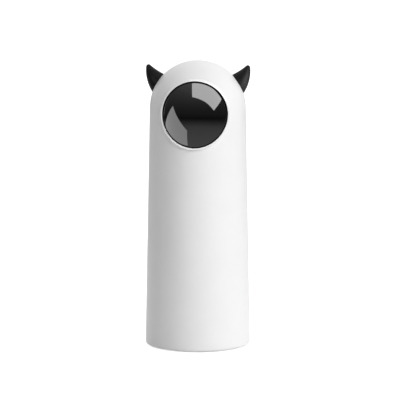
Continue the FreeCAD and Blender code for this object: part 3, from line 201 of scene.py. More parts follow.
# %% [markdown]
# The body shell is one moulding, open below, with a wall of even thickness.  Its
# profile goes up the outside, over the dome, and down again inside.  A Solidify
# modifier could give a thin skin its wall too, but a drawn profile keeps the rounded
# lower edge and the inside of the dome true.

# %% Body shell
ROUND_TURNS = 192
WALL_RINGS = 34
DOME_RINGS = 56
INNER_DOME_RINGS = 40
FOOT_RINGS = 10


def make_shell():
    bm = bmesh.new()
    inner = DOME_RADIUS - WALL
    swing = 90.0 - math.degrees(draft)
    round_z = shell_low.z + EDGE_ROUND
    round_x = wall_radius(round_z) - EDGE_ROUND / math.cos(draft)
    pen = Pen(bm, 0.0, shell_high.z)
    pen.arc(0.0, dome_z, swing, DOME_RINGS)
    pen.line(round_x + EDGE_ROUND * math.cos(draft), round_z + EDGE_ROUND * math.sin(draft), WALL_RINGS)
    pen.arc(round_x, round_z, 90.0 + math.degrees(draft), FOOT_RINGS)
    pen.line(wall_radius(shell_low.z, -WALL), shell_low.z)
    pen.line(inner * math.cos(draft), dome_z + inner * math.sin(draft), WALL_RINGS)
    pen.arc(0.0, dome_z, -swing, INNER_DOME_RINGS)
    lathe(bm, ROUND_TURNS)
    return finish_mesh(bm, "pillar_shell")


shell = make_shell()
print("shell wall %.2f mm, %d faces before the openings" % (WALL / MM, len(shell.data.polygons)))

# %% [markdown]
# The openings are cut with solid tools, as the mould's slides would leave them: a
# round bar, a bar with full-round ends, and the body's own form, which gives a recess
# one even depth.  A boolean keeps their edges crisp; pushing the shell's own points
# about would dent the wall round them.

# %% Cutting tools
BAR_TURNS = 96
SMALL_TURNS = 48
ALONG_Y = Matrix.Rotation(math.radians(90.0), 4, "X")


def cut(piece, tool):
    """Take a tool's form out of a piece, and remove the tool."""
    modifier = piece.modifiers.new("cut", "BOOLEAN")
    modifier.operation = "DIFFERENCE"
    modifier.solver = "EXACT"
    modifier.object = tool
    graph = bpy.context.evaluated_depsgraph_get()
    piece_mesh = bpy.data.meshes.new_from_object(piece.evaluated_get(graph))
    piece.modifiers.clear()
    piece.data = piece_mesh
    bpy.data.objects.remove(tool)
    smooth(piece_mesh)


def round_bar(radius, length, place, turns=BAR_TURNS):
    """Bar along the Z axis of a place, with its middle there."""
    bm = bmesh.new()
    bmesh.ops.create_cone(bm, cap_ends=True, segments=turns, radius1=radius, radius2=radius,
                          depth=length, matrix=place)
    return finish_mesh(bm, "tool")


def slot_bar(width, height, length, z, turns=50):
    """Bar from the middle to the rear: a circle pulled apart, then extruded."""
    bm = bmesh.new()
    bmesh.ops.create_circle(bm, cap_ends=True, segments=turns, radius=height / 2.0,
                            matrix=Matrix.Translation((0.0, 0.0, z)) @ ALONG_Y)
    pull = (width - height) / 2.0
    for vert in bm.verts:
        vert.co.x += math.copysign(pull, vert.co.x)
    made = bmesh.ops.extrude_face_region(bm, geom=bm.faces[:])
    ends = only(bmesh.types.BMVert, made["geom"])
    bmesh.ops.translate(bm, verts=ends, vec=(0.0, length, 0.0))
    return finish_mesh(bm, "tool")


def body_form(lift, low):
    """Closed solid of the body's form, raised by a lift, down to a height."""
    bm = bmesh.new()
    radius = DOME_RADIUS + lift
    pen = Pen(bm, 0.0, dome_z + radius)
    pen.arc(0.0, dome_z, 90.0 - math.degrees(draft), SMALL_TURNS)
    pen.line(wall_radius(low, lift), low)
    pen.line(0.0, low)
    lathe(bm, ROUND_TURNS)
    return finish_mesh(bm, "tool")


print("tools: round bar, slot bar, body form")

# %% [markdown]
# The openings, from front to back: the round hole under the visor, two holes for the
# horns' plugs, the button's hole, the tiny hole of the light, and the slot of the
# charging socket with a shallow recess for the plug's grip.  Each is placed by the
# box of the CAD node that fills it, apart from the horns' holes, whose place is given
# by the angles at which the horns stand.

# %% Places and sizes of the openings
LENS_GAP = 0.15 * MM
BEAD_WIDTH = 1.15 * MM
SKIRT_WALL = 0.55 * MM
TRIM_GAP = 0.1 * MM
BUTTON_RADIUS = 5.8 * MM
BUTTON_GAP = 0.2 * MM
PIPE_RADIUS = 1.0 * MM
PIPE_GAP = 0.05 * MM
PLUG_RADIUS = 2.5 * MM
HORN_ELEVATION = 31.4          # degrees up from the sides
HORN_SET_BACK = 5.0            # degrees behind the sides
SLOT_CLEARANCE = 0.35 * MM
RECESS_MARGIN = 1.5 * MM
RECESS_DEPTH = 1.0 * MM


def middle(name):
    """Centre of a CAD node's box."""
    low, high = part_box(name)
    return (low + high) / 2.0


bead_low, bead_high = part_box("visor_bezel")
usb_low, usb_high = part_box("usb_socket")
lens_radius = (bead_high.x - bead_low.x) / 2.0 - BEAD_WIDTH - LENS_GAP
visor_z = middle("visor_bezel").z
button_z = middle("power_button").z
pipe_z = middle("status_light_pipe").z
usb_z = middle("usb_socket").z
print("visor at %.1f mm, button at %.1f mm, light at %.1f mm, socket at %.1f mm"
      % (visor_z / MM, button_z / MM, pipe_z / MM, usb_z / MM))

# %% Openings in the shell
BEYOND = 60.0 * MM             # past the whole body
BELOW = -0.1 * BASE_RADIUS     # lower than the whole body
HORN_TOOL_LENGTH = 2.0 * DOME_RADIUS
HORN_TOOL_MIDDLE = 1.8 * DOME_RADIUS


def bar_along_y(radius, side, z, turns=BAR_TURNS):
    """Round bar from the middle out through the front or the rear."""
    place = Matrix.Translation((0.0, side * BEYOND / 2.0, z)) @ ALONG_Y
    return round_bar(radius, BEYOND, place, turns)


def horn_bar(side):
    """Round bar that stands on the dome where a horn's plug goes in."""
    turn = Matrix.Rotation(math.radians(side * HORN_SET_BACK), 4, "Z")
    tilt = Matrix.Rotation(math.radians(side * (90.0 - HORN_ELEVATION)), 4, "Y")
    place = (Matrix.Translation((0, 0, dome_z)) @ (turn @ tilt)
             @ Matrix.Translation((0, 0, HORN_TOOL_MIDDLE)))
    return round_bar(PLUG_RADIUS, HORN_TOOL_LENGTH, place, SMALL_TURNS)


def open_shell():
    cut(shell, bar_along_y(lens_radius + LENS_GAP + SKIRT_WALL + TRIM_GAP, -1, visor_z, ROUND_TURNS))
    cut(shell, bar_along_y(BUTTON_RADIUS + BUTTON_GAP, 1, button_z))
    cut(shell, bar_along_y(PIPE_RADIUS + PIPE_GAP, 1, pipe_z, SMALL_TURNS))
    width = usb_high.x - usb_low.x + 2.0 * SLOT_CLEARANCE
    height = usb_high.z - usb_low.z + 2.0 * SLOT_CLEARANCE
    cut(shell, slot_bar(width, height, BEYOND, usb_z))
    recess = slot_bar(width + 2.0 * RECESS_MARGIN, height + 2.0 * RECESS_MARGIN, BEYOND, usb_z)
    cut(recess, body_form(-RECESS_DEPTH, BELOW))
    cut(shell, recess)
    for side in (-1, 1):
        cut(shell, horn_bar(side))


open_shell()
install(shell, "housing", "white_shell", "body_shell")

# %% [markdown]
# The bead round the visor is a ring with both top edges rounded and a short skirt
# that reaches into the shell.  Its edge runs up and down over a curved body, so it
# can't be a plain turned ring.  It is turned flat first, as a ring about the visor's
# axis, and then each point is laid on the body: the distance that it stands proud is
# kept, and the surface does the rest.

# %% Laying a flat ring on the body
def turn_flat(bm, turns, z):
    """Take a profile of radius and lift, lay the lift along Y, and turn it about Y."""
    for vert in bm.verts:
        radius, lift = vert.co.x, vert.co.z
        vert.co = Vector((radius, lift, z))
    lathe(bm, turns, (0, 1, 0), (0, 0, z))


def lay_on_body(verts, side):
    """Y holds the lift over the surface; put each vertex on the front or the rear."""
    for vert in verts:
        vert.co.y = side * reach(vert.co.x, vert.co.z, vert.co.y)


print("the body swells %.2f mm across the visor"
      % ((reach(0.0, visor_z) - reach(lens_radius, visor_z)) / MM))

# %% Visor bead
BEAD_PROUD = 1.25 * MM
BEAD_ROUND = 0.52 * MM
BEAD_ROUND_STEPS = 10
SKIRT_DEPTH = 1.6 * MM


def make_bead():
    bm = bmesh.new()
    inner = lens_radius + LENS_GAP
    outer = inner + BEAD_WIDTH
    crest = BEAD_PROUD - BEAD_ROUND
    pen = Pen(bm, inner, -SKIRT_DEPTH)
    pen.line(inner, crest, 3)
    pen.arc(inner + BEAD_ROUND, crest, 90.0, BEAD_ROUND_STEPS)
    pen.line(outer - BEAD_ROUND, BEAD_PROUD)
    pen.arc(outer - BEAD_ROUND, crest, 90.0, BEAD_ROUND_STEPS)
    pen.line(outer, 0.0, 2)
    pen.line(inner + SKIRT_WALL, 0.0)
    pen.line(inner + SKIRT_WALL, -SKIRT_DEPTH, 2)
    pen.close()
    turn_flat(bm, ROUND_TURNS, visor_z)
    lay_on_body(bm.verts, -1)
    return finish_mesh(bm, "visor_bead")


bead = make_bead()
install(bead, "housing", "white_shell", "visor_bezel")

# %% [markdown]
# The visor lens swells out of the body like a slice of a barrel: one curve up and
# down, a tighter one from side to side, so that its rim meets the body all round.
# A plain ball's cap would leave a gap at its sides or sink at its top.  A polar net
# of rings is turned flat and each ring is then laid on that barrel.  At the rim a
# tiny round catches the light, a shallow rebate follows, and behind it the lens goes
# down to a flange that holds it from inside.  The rebate is real, and its dull black
# finish is painted shade that stands in for the dark gap beside the bead.

# %% The barrel surface of the lens
LENS_CROWN = 5.1 * MM
LENS_RISE = 0.95 * MM
SETTLE_STEPS = 12

rim_low = Vector((0, -wall_radius(visor_z - lens_radius), visor_z - lens_radius))
rim_high = Vector((0, -reach(0.0, visor_z + lens_radius), visor_z + lens_radius))
rim_side = Vector((0, -reach(lens_radius, visor_z), visor_z))
half_chord = (rim_high - rim_low).length / 2.0
chord_up = (rim_high - rim_low).normalized()
chord_out = Vector((0, -chord_up.z, chord_up.y))
chord_middle = (rim_low + rim_high) / 2.0
apex = chord_middle + chord_out * (LENS_CROWN + LENS_RISE)
arc_radius = (half_chord ** 2 + LENS_CROWN ** 2) / (2.0 * LENS_CROWN)
hoop_drop = LENS_CROWN - (rim_side - chord_middle).dot(chord_out)
hoop_radius = (lens_radius ** 2 + hoop_drop ** 2) / (2.0 * hoop_drop)
barrel_axis = apex - chord_out * hoop_radius


def barrel_reach(x, z, lift=0.0):
    """Distance along Y from the middle to the barrel, over the point x, z."""
    rise = 0.0
    for _ in range(SETTLE_STEPS):
        girth = hoop_radius - arc_radius + math.sqrt((arc_radius + lift) ** 2 - rise ** 2)
        forward = math.sqrt(max(0.0, girth ** 2 - x ** 2))
        rise = (z - barrel_axis.z - chord_out.z * forward) / chord_up.z
    return -(barrel_axis.y + chord_up.y * rise + chord_out.y * forward)


def lay_on_barrel(verts):
    """Y holds the lift over the barrel; put each vertex on the barrel's front."""
    for vert in verts:
        vert.co.y = -barrel_reach(vert.co.x, vert.co.z, vert.co.y)


print("barrel: curve %.1f mm up and down, %.1f mm from side to side, crown at %.1f mm"
      % (arc_radius / MM, hoop_radius / MM, barrel_reach(0.0, apex.z) / MM))

# %% Visor lens
LENS_WALL = 1.8 * MM
LENS_FLANGE = 2.1 * MM
FLANGE_THICKNESS = 1.3 * MM
LENS_EDGE = 0.1 * MM
LENS_EDGE_STEPS = 5
RIM_WIDTH = 0.65 * MM
RIM_DEPTH = 0.15 * MM
LENS_RINGS = 40
BACK_RINGS = 20
HAIR = 0.01 * MM               # a hair's breadth, for comparisons


def set_ring(ring, radius, lift):
    """Give a ring about the visor's axis another radius, and its lift as Y."""
    for vert in ring:
        across = Vector((vert.co.x, 0.0, vert.co.z - visor_z)).normalized() * radius
        vert.co = Vector((across.x, lift, visor_z + across.z))


def draw_lens_face(bm):
    face_radius = lens_radius - RIM_WIDTH
    pen = Pen(bm, 0.0, 0.0)
    pen.line(face_radius - LENS_EDGE, 0.0, LENS_RINGS)
    pen.arc(face_radius - LENS_EDGE, -LENS_EDGE, 90.0, LENS_EDGE_STEPS)
    pen.line(face_radius, -RIM_DEPTH)
    pen.line(lens_radius, -RIM_DEPTH)
    turn_flat(bm, ROUND_TURNS, visor_z)
    lay_on_barrel(bm.verts)


def make_lens():
    bm = bmesh.new()
    draw_lens_face(bm)
    rim = [edge for edge in bm.edges if edge.is_boundary]
    inner = lens_radius - LENS_WALL
    flange_top = -WALL - TRIM_GAP
    flange_low = flange_top - FLANGE_THICKNESS
    for radius, lift in ((lens_radius, flange_top), (lens_radius + LENS_FLANGE, flange_top),
                         (lens_radius + LENS_FLANGE, flange_low), (inner, flange_low)):
        rim, ring = next_ring(bm, rim)
        set_ring(ring, radius, lift)
        lay_on_body(ring, -1)
    for index in range(BACK_RINGS):
        share = (index + 1.0) / (BACK_RINGS + 1.0)
        rim, ring = next_ring(bm, rim)
        set_ring(ring, inner * (1.0 - share) if index else inner, -LENS_WALL)
        lay_on_barrel(ring)
    bmesh.ops.edgeloop_fill(bm, edges=rim)
    piece = finish_mesh(bm, "visor_window")
    # Faces of the rim's rebate take the second finish, dull black: painted shade for the gap beside the
    # bead.
    for face in piece.data.polygons:
        if math.hypot(face.center.x, face.center.z - visor_z) > lens_radius - RIM_WIDTH - HAIR:
            face.material_index = 1
    return piece


lens = make_lens()
install(lens, "housing", "smoked_visor", "visor_lens")

# %% [markdown]
# A horn is an oval section that travels along an arc, bends upwards and thins out to
# a small round tip.  A tapered curve would do for a round horn; here a circle is
# extruded ring by ring, each ring carried by the matrix of its place on the arc, so
# that the section can change from oval to round.  The horn is made over the side of
# the toy and then turned back a little.

# %% Sections of a horn
ROOT_ELEVATION = 29.7
ROOT_DEPTH = 6.1 * MM
HEADING = math.radians(36.0)
BEND = 29.7 * MM
LENGTH = 16.9 * MM             # to where the round of the tip begins
ROOT_RADIUS = 7.3 * MM
ROOT_FLATNESS = 0.35           # depth over width of the first section
TIP_RADIUS = 1.25 * MM
FULLNESS = 1.47                # power of the taper
STATIONS = 40
TIP_STATIONS = 8

dome_centre = Vector((0, 0, dome_z))


def outward(elevation):
    """Unit vector to the right side and up."""
    angle = math.radians(elevation)
    return Vector((math.cos(angle), 0, math.sin(angle)))


def scaled(radius, depth):
    return Matrix.Diagonal((radius, depth, radius, 1.0))


def arc_place(share):
    """Matrix of a section on the horn's curve: Z runs along the curve."""
    heading = HEADING + LENGTH * share / BEND
    start = dome_centre + outward(ROOT_ELEVATION) * (DOME_RADIUS - ROOT_DEPTH)
    place = start + Vector((BEND * (math.sin(heading) - math.sin(HEADING)), 0,
                            BEND * (math.cos(HEADING) - math.cos(heading))))
    return Matrix.Translation(place) @ Matrix.Rotation(math.pi / 2.0 - heading, 4, "Y")


def horn_sections():
    """Matrices of all sections, with the radius as scale, and of the round tip."""
    sections = []
    for station in range(STATIONS + 1):
        share = station / STATIONS
        radius = TIP_RADIUS + (ROOT_RADIUS - TIP_RADIUS) * (1.0 - share ** FULLNESS)
        depth = radius * (ROOT_FLATNESS + (1.0 - ROOT_FLATNESS) * share)
        sections.append(arc_place(share) @ scaled(radius, depth))
    lean = math.atan(FULLNESS * (ROOT_RADIUS - TIP_RADIUS) / LENGTH)
    ball = TIP_RADIUS / math.cos(lean)
    for station in range(1, TIP_STATIONS):
        angle = lean + (math.pi / 2.0 - lean) * station / TIP_STATIONS
        radius = ball * math.cos(angle)
        rise = Matrix.Translation((0, 0, ball * (math.sin(angle) - math.sin(lean))))
        sections.append(arc_place(1.0) @ rise @ scaled(radius, radius))
    return sections


print("a horn has", len(horn_sections()), "sections")

# %% [markdown]
# The rings that begin inside the dome are drawn onto its surface, and a plug with a
# barb goes on from there into the shell.  Cutting the horn with a ball would give the
# same foot, but in slivers; moved points keep the long lines of the mesh whole.

# %% Horns
HORN_TURNS = 64
HORN_WELD = 0.002 * MM
HALVINGS = 30
BARB_LIP = 0.8 * MM
BARB_LENGTH = 2.2 * MM
BARB_GAP = 0.1 * MM


def sorted_by_angle(ring, matrix):
    """Vertices of one ring in the same order as all the other rings."""
    back = matrix.inverted()

    def turn(vert):
        flat = back @ vert.co
        return round(math.atan2(flat.y, flat.x) / math.pi * HORN_TURNS) % (2 * HORN_TURNS)
    return sorted(ring, key=turn)


def in_dome(point):
    return (point - dome_centre).length < DOME_RADIUS


def onto_dome(rings):
    """Draw the part of each long line that lies inside the dome onto its surface."""
    for line in zip(*rings):
        inside = [vert for vert in line if in_dome(vert.co)]
        first_out = line[len(inside)].co
        last_in = inside[-1].co.copy()
        low, high = 0.0, 1.0
        for _ in range(HALVINGS):
            half = (low + high) / 2.0
            if in_dome(last_in.lerp(first_out, half)):
                low = half
            else:
                high = half
        for vert in inside:
            vert.co = last_in.lerp(first_out, high)


def add_plug(bm):
    """From the foot on the dome, go down with the plug and its barb."""
    edges = [edge for edge in bm.edges if edge.is_boundary]
    axis = outward(HORN_ELEVATION)
    barb = PLUG_RADIUS + BARB_LIP
    barb_top = math.sqrt((DOME_RADIUS - WALL - BARB_GAP) ** 2 - barb ** 2)
    on_dome = math.sqrt(DOME_RADIUS ** 2 - PLUG_RADIUS ** 2)
    for radius, height in ((PLUG_RADIUS, on_dome), (PLUG_RADIUS, barb_top), (barb, barb_top),
                           (PLUG_RADIUS - BARB_LIP / 2.0, barb_top - BARB_LENGTH)):
        edges, verts = next_ring(bm, edges)
        for vert in verts:
            out = vert.co - dome_centre
            across = (out - axis * out.dot(axis)).normalized()
            vert.co = dome_centre + axis * height + across * radius
    bmesh.ops.edgeloop_fill(bm, edges=edges)


def make_horn(name, side):
    bm = bmesh.new()
    sections = horn_sections()
    bmesh.ops.create_circle(bm, segments=HORN_TURNS, radius=1.0, matrix=sections[0])
    edges, verts = bm.edges[:], bm.verts[:]
    rings = [verts]
    for before, after in zip(sections, sections[1:]):
        edges, verts = next_ring(bm, edges)
        bmesh.ops.transform(bm, matrix=after @ before.inverted(), verts=verts)
        rings.append(verts)
    bmesh.ops.edgeloop_fill(bm, edges=edges)
    onto_dome([sorted_by_angle(ring, matrix) for ring, matrix in zip(rings, sections)])
    bmesh.ops.remove_doubles(bm, verts=bm.verts, dist=HORN_WELD)
    add_plug(bm)
    turn = Matrix.Rotation(math.radians(HORN_SET_BACK), 3, "Z")
    bmesh.ops.rotate(bm, cent=(0, 0, 0), matrix=turn, verts=bm.verts)
    bmesh.ops.scale(bm, vec=(side, 1, 1), verts=bm.verts)
    return finish_mesh(bm, name)


right_horn = make_horn("horn_right", 1)
left_horn = make_horn("horn_left", -1)
install(right_horn, "housing", "horn_black", "right_horn")
install(left_horn, "housing", "horn_black", "left_horn")

# %% [markdown]
# The power button is a shallow cap in the rear wall.  Its face follows the body, so
# it is turned flat and laid on the rear in the same way as the bead, with a flange
# that keeps it in and a stem that reaches the switch.

# %% Power button
BUTTON_PROUD = 0.6 * MM
BUTTON_ROUND = 0.35 * MM
BUTTON_LIP = 1.4 * MM
BUTTON_LIP_THICKNESS = 1.0 * MM
BUTTON_PLAY = 0.25 * MM
BUTTON_WALL = 1.2 * MM
BUTTON_RINGS = 12
BUTTON_ROUND_STEPS = 6
STEM_RADIUS = 2.0 * MM

plunger_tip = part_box("switch_plunger")[1].y


def make_button():
    bm = bmesh.new()
    flange_top = -WALL - BUTTON_PLAY
    flange_low = flange_top - BUTTON_LIP_THICKNESS
    ceiling = BUTTON_PROUD - BUTTON_WALL
    stem_lift = plunger_tip - reach(0.0, button_z)
    pen = Pen(bm, 0.0, BUTTON_PROUD)
    pen.line(BUTTON_RADIUS - BUTTON_ROUND, BUTTON_PROUD, BUTTON_RINGS)
    pen.arc(BUTTON_RADIUS - BUTTON_ROUND, BUTTON_PROUD - BUTTON_ROUND, 90.0, BUTTON_ROUND_STEPS)
    pen.line(BUTTON_RADIUS, flange_top, 2)
    pen.line(BUTTON_RADIUS + BUTTON_LIP, flange_top)
    pen.line(BUTTON_RADIUS + BUTTON_LIP, flange_low)
    pen.line(BUTTON_RADIUS - BUTTON_WALL, flange_low)
    pen.line(BUTTON_RADIUS - BUTTON_WALL, ceiling, 2)
    pen.line(STEM_RADIUS, ceiling, 3)
    pen.line(STEM_RADIUS, stem_lift)
    pen.line(0.0, stem_lift)
    turn_flat(bm, BAR_TURNS, button_z)
    stem_end = [vert for vert in bm.verts if vert.co.y < stem_lift + HAIR]
    lay_on_body(bm.verts, 1)
    for vert in stem_end:
        vert.co.y = plunger_tip
    return finish_mesh(bm, "button_cap")


button = make_button()
install(button, "button", "white_shell", "power_button")

# %% [markdown]
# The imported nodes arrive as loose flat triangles.  Small outer parts whose shape is
# already right are copied, the copy's points are merged, and it is shaded smooth:
# the foot ring, the base cap, the charging socket with its tongue, the light pipe.

# %% Smooth copies of small outer parts
COPY_WELD = 0.001 * MM

for name, cad_node, slot in (("foot_tread", "foot_ring", "foot_rubber"),
                             ("bottom_cap", "base_cap", "base_white"),
                             ("socket_tube", "usb_socket", "nickel_tab"),
                             ("socket_tongue", "usb_tongue", "chip_black"),
                             ("light_window", "status_light_pipe", "clear_light")):
    bm = bmesh.new()
    bm.from_mesh(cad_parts[cad_node].data)
    bmesh.ops.remove_doubles(bm, verts=bm.verts, dist=COPY_WELD)
    install(finish_mesh(bm, name, turn_out=False), "housing", slot, cad_node)

# %% [markdown]
# The shapes are done; now the finishes.  Every finish is built from nodes, with no
# pictures.  The base colour and roughness of a real moulding are never quite even,
# so small groups make grain, smudges, streaks and so on, and each material places a
# group with its own sizes.  A few short helpers keep the node code readable.

# %% Helpers for nodes
def clear_tree(owner):
    """The empty node tree of a new material or world."""
    owner.use_nodes = True
    owner.node_tree.nodes.clear()
    return owner.node_tree


def node(tree, kind, inputs=None, **settings):
    """Add a node.  Inputs are numbers, colours, or the sockets to link from."""
    made = tree.nodes.new("ShaderNode" + kind)
    for key, value in settings.items():
        setattr(made, key, value)
    for key, value in (inputs or {}).items():
        if isinstance(value, bpy.types.NodeSocket):
            tree.links.new(value, made.inputs[key])
        else:
            made.inputs[key].default_value = value
    return made


def math_node(tree, operation, first, second=0.0, clamp=False):
    return node(tree, "Math", {0: first, 1: second}, operation=operation,
                use_clamp=clamp).outputs["Value"]


def distance(tree, x, y):
    """How far a point is from the axis: the root of x squared plus y squared."""
    square = math_node(tree, "ADD", math_node(tree, "MULTIPLY", x, x), math_node(tree, "MULTIPLY", y, y))
    return math_node(tree, "SQRT", square)


def coordinates(tree, point):
    return node(tree, "SeparateXYZ", {"Vector": point}).outputs


def spread(tree, value, low, high, to_low, to_high):
    """Map a value that wanders between low and high onto another range."""
    return node(tree, "MapRange", {"Value": value, "From Min": low, "From Max": high,
                                   "To Min": to_low, "To Max": to_high}).outputs["Result"]


def between(tree, share, low, high):
    """A value that goes from low to high as its share goes from 0 to 1."""
    return spread(tree, share, 0.0, 1.0, low, high)


def blend_colours(tree, share, first, second):
    """Mix two colours, each of three numbers or a socket."""
    made = node(tree, "Mix", {0: share}, data_type="RGBA")
    for socket, colour in ((made.inputs[6], first), (made.inputs[7], second)):
        if isinstance(colour, bpy.types.NodeSocket):
            tree.links.new(colour, socket)
        else:
            socket.default_value = (*colour, 1.0)
    return made.outputs[2]


def noise(tree, point, scale, detail=2.0, roughness=0.5):
    return node(tree, "TexNoise", {"Vector": point, "Scale": scale, "Detail": detail,
                                   "Roughness": roughness}).outputs["Fac"]


def start_group(name, inputs, outputs):
    """New node group; the first input is always the point on the piece."""
    group = bpy.data.node_groups.new(name, "ShaderNodeTree")
    group.interface.new_socket(name="Point", in_out="INPUT", socket_type="NodeSocketVector")
    for label, value in inputs.items():
        socket = group.interface.new_socket(name=label, in_out="INPUT", socket_type="NodeSocketFloat")
        socket.default_value = value
    for label in outputs:
        kind = "NodeSocketVector" if label == "Normal" else "NodeSocketFloat"
        group.interface.new_socket(name=label, in_out="OUTPUT", socket_type=kind)
    print("group:", name, "gives", ", ".join(outputs))
    return group, group.nodes.new("NodeGroupInput").outputs, group.nodes.new("NodeGroupOutput").inputs


# %% [markdown]
# A moulding carries the texture of its mould: a very fine grain, slow waves in how
# much it shines, and a few smudges from handling.  Three noises of different sizes
# make them.  The group takes real sizes in metres and gives a height, a slow cloud
# and a smudge mask.

# %% Group: moulded skin
SMUDGE_FREQUENCY = 1.7         # against that of the cloud
SMUDGE_SHIFT = (0.31, 0.17, 0.53)
SMUDGE_FROM, SMUDGE_FULL = 0.52, 0.72


def make_moulded_skin():
    group, given, put = start_group("moulded skin", {"Grain Size": 0.2 * MM, "Cloud Size": 12 * MM},
                                    ("Grain", "Cloud", "Smudge"))
    fine = math_node(group, "DIVIDE", 1.0, given["Grain Size"])
    slow = math_node(group, "DIVIDE", 1.0, given["Cloud Size"])
    group.links.new(noise(group, given["Point"], fine, 2.0), put["Grain"])
    group.links.new(noise(group, given["Point"], slow, 2.0), put["Cloud"])
    shifted = node(group, "VectorMath", {0: given["Point"], 1: SMUDGE_SHIFT}, operation="ADD")
    patch = noise(group, shifted.outputs["Vector"],
                  math_node(group, "MULTIPLY", slow, SMUDGE_FREQUENCY), 5.0, 0.65)
    group.links.new(spread(group, patch, SMUDGE_FROM, SMUDGE_FULL, 0.0, 1.0), put["Smudge"])
    return group


moulded_skin = make_moulded_skin()

# %% [markdown]
# Metal shows how it was worked.  A turned part has fine rings round its axis, and
# drawn or stamped sheet has long scratches.  Both are the same noise, read with the
# radius and height in one case, and with one direction stretched in the other.

# %% Group: worked metal
SCRATCH_STRETCH = 0.03
TARNISH_FREQUENCY = 260.0
TARNISH_FROM, TARNISH_FULL = 0.45, 0.75


def make_worked_metal():
    group, given, put = start_group("worked metal", {"Fineness": 0.08 * MM, "Turned": 1.0},
                                    ("Streak", "Tarnish"))
    here = coordinates(group, given["Point"])
    rings = node(group, "CombineXYZ", {"X": distance(group, here["X"], here["Y"]), "Y": here["Z"]})
    drawn = node(group, "CombineXYZ", {"X": here["X"], "Y": here["Y"],
                                       "Z": math_node(group, "MULTIPLY", here["Z"], SCRATCH_STRETCH)})
    pick = node(group, "Mix", {0: given["Turned"], 4: drawn.outputs["Vector"],
                               5: rings.outputs["Vector"]}, data_type="VECTOR")
    fine = math_node(group, "DIVIDE", 1.0, given["Fineness"])
    group.links.new(noise(group, pick.outputs[1], fine, 3.0, 0.7), put["Streak"])
    blotch = noise(group, given["Point"], TARNISH_FREQUENCY, 4.0, 0.6)
    group.links.new(spread(group, blotch, TARNISH_FROM, TARNISH_FULL, 0.0, 1.0), put["Tarnish"])
    return group


worked_metal = make_worked_metal()

# %% [markdown]
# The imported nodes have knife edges.  Real ones are slightly broken and polished by
# handling.  Their meshes stay as they are, so the round comes from the shading: a
# Bevel node reads the neighbouring faces and bends the normal near an edge, and how
# far it bends is also a mask for the brighter worn edge.

# %% Group: broken edge
EDGE_FLAT, EDGE_BENT = 0.98, 0.8    # how well the bent normal agrees with the face's
WEAR_FREQUENCY = 1800.0


def make_broken_edge():
    group, given, put = start_group("broken edge", {"Radius": 0.15 * MM}, ("Normal", "Wear"))
    soft = node(group, "Bevel", {"Radius": given["Radius"]}, samples=4).outputs["Normal"]
    flat = node(group, "NewGeometry").outputs["True Normal"]
    together = node(group, "VectorMath", {0: soft, 1: flat}, operation="DOT_PRODUCT").outputs["Value"]
    bend = spread(group, together, EDGE_FLAT, EDGE_BENT, 0.0, 1.0)
    worn = math_node(group, "MULTIPLY", bend, noise(group, given["Point"], WEAR_FREQUENCY, 3.0))
    group.links.new(soft, put["Normal"])
    group.links.new(worn, put["Wear"])
    return group


broken_edge = make_broken_edge()

# %% [markdown]
# A circuit board is glass fibre with copper lines under a thin green mask.  Drawing
# real tracks would take an image or thousands of edges.  Here square Voronoi cells
# stand for areas of the layout, and in each of them the lines run one way or the
# other.  Small dots are the plated holes.

# %% Group: board routing
AREAS_PER_PITCH = 0.22
PADS_PER_PITCH = 0.5
FIBRES_PER_PITCH = 2.6
TRACK_HALF_WIDTH = 0.17        # in pitches
PAD_RADIUS = 0.13              # in cells of the pads
BARE_AREAS = 0.3               # share of the areas without tracks


def make_board_routing():
    group, given, put = start_group("board routing", {"Pitch": 1.1 * MM}, ("Track", "Pad", "Weave"))
    per = math_node(group, "DIVIDE", 1.0, given["Pitch"])
    here = coordinates(group, given["Point"])
    flat = node(group, "CombineXYZ", {"X": here["X"], "Y": here["Y"]}).outputs["Vector"]

    def cells(per_pitch, randomness, **settings):
        scale = math_node(group, "MULTIPLY", per, per_pitch)
        return node(group, "TexVoronoi", {"Vector": flat, "Scale": scale, "Randomness": randomness},
                    voronoi_dimensions="2D", **settings).outputs

    area = cells(AREAS_PER_PITCH, 0.8, distance="CHEBYCHEV")
    choice = node(group, "SeparateColor", {"Color": area["Color"]}).outputs
    across = math_node(group, "GREATER_THAN", choice["Red"], 0.5)
    along = node(group, "Mix", {0: across, 2: here["X"], 3: here["Y"]}, data_type="FLOAT").outputs[0]
    phase = math_node(group, "FRACT", math_node(group, "MULTIPLY", along, per))
    offset = math_node(group, "ABSOLUTE", math_node(group, "SUBTRACT", phase, 0.5))
    line = math_node(group, "LESS_THAN", offset, TRACK_HALF_WIDTH)
    used = math_node(group, "GREATER_THAN", choice["Green"], BARE_AREAS)
    group.links.new(math_node(group, "MULTIPLY", line, used), put["Track"])
    dots = cells(PADS_PER_PITCH, 0.6)["Distance"]
    group.links.new(math_node(group, "LESS_THAN", dots, PAD_RADIUS), put["Pad"])
    cloth = node(group, "TexChecker", {"Vector": flat,
                                       "Scale": math_node(group, "MULTIPLY", per, FIBRES_PER_PITCH)})
    group.links.new(cloth.outputs["Fac"], put["Weave"])
    return group


board_routing = make_board_routing()

# %% [markdown]
# Each material starts with a point in metres.  A Mapping node of the texture kind
# takes the piece's centre away and turns its axis upright, so that rings and tracks
# are centred on the piece.

# %% Starting a material
AXIS_TURN = {"Z": (0.0, 0.0, 0.0), "X": (0.0, math.pi / 2.0, 0.0), "Y": (math.pi / 2.0, 0.0, 0.0)}


def start_material(name, centre=(0.0, 0.0, 0.0), axis="Z"):
    material = bpy.data.materials.new(name)
    tree = clear_tree(material)
    shader = node(tree, "BsdfPrincipled")
    tree.links.new(shader.outputs["BSDF"], node(tree, "OutputMaterial").inputs["Surface"])
    here = node(tree, "TexCoord").outputs["Object"]
    point = node(tree, "Mapping", {"Vector": here, "Location": centre, "Rotation": AXIS_TURN[axis]},
                 vector_type="TEXTURE").outputs["Vector"]
    return material, tree, shader, point


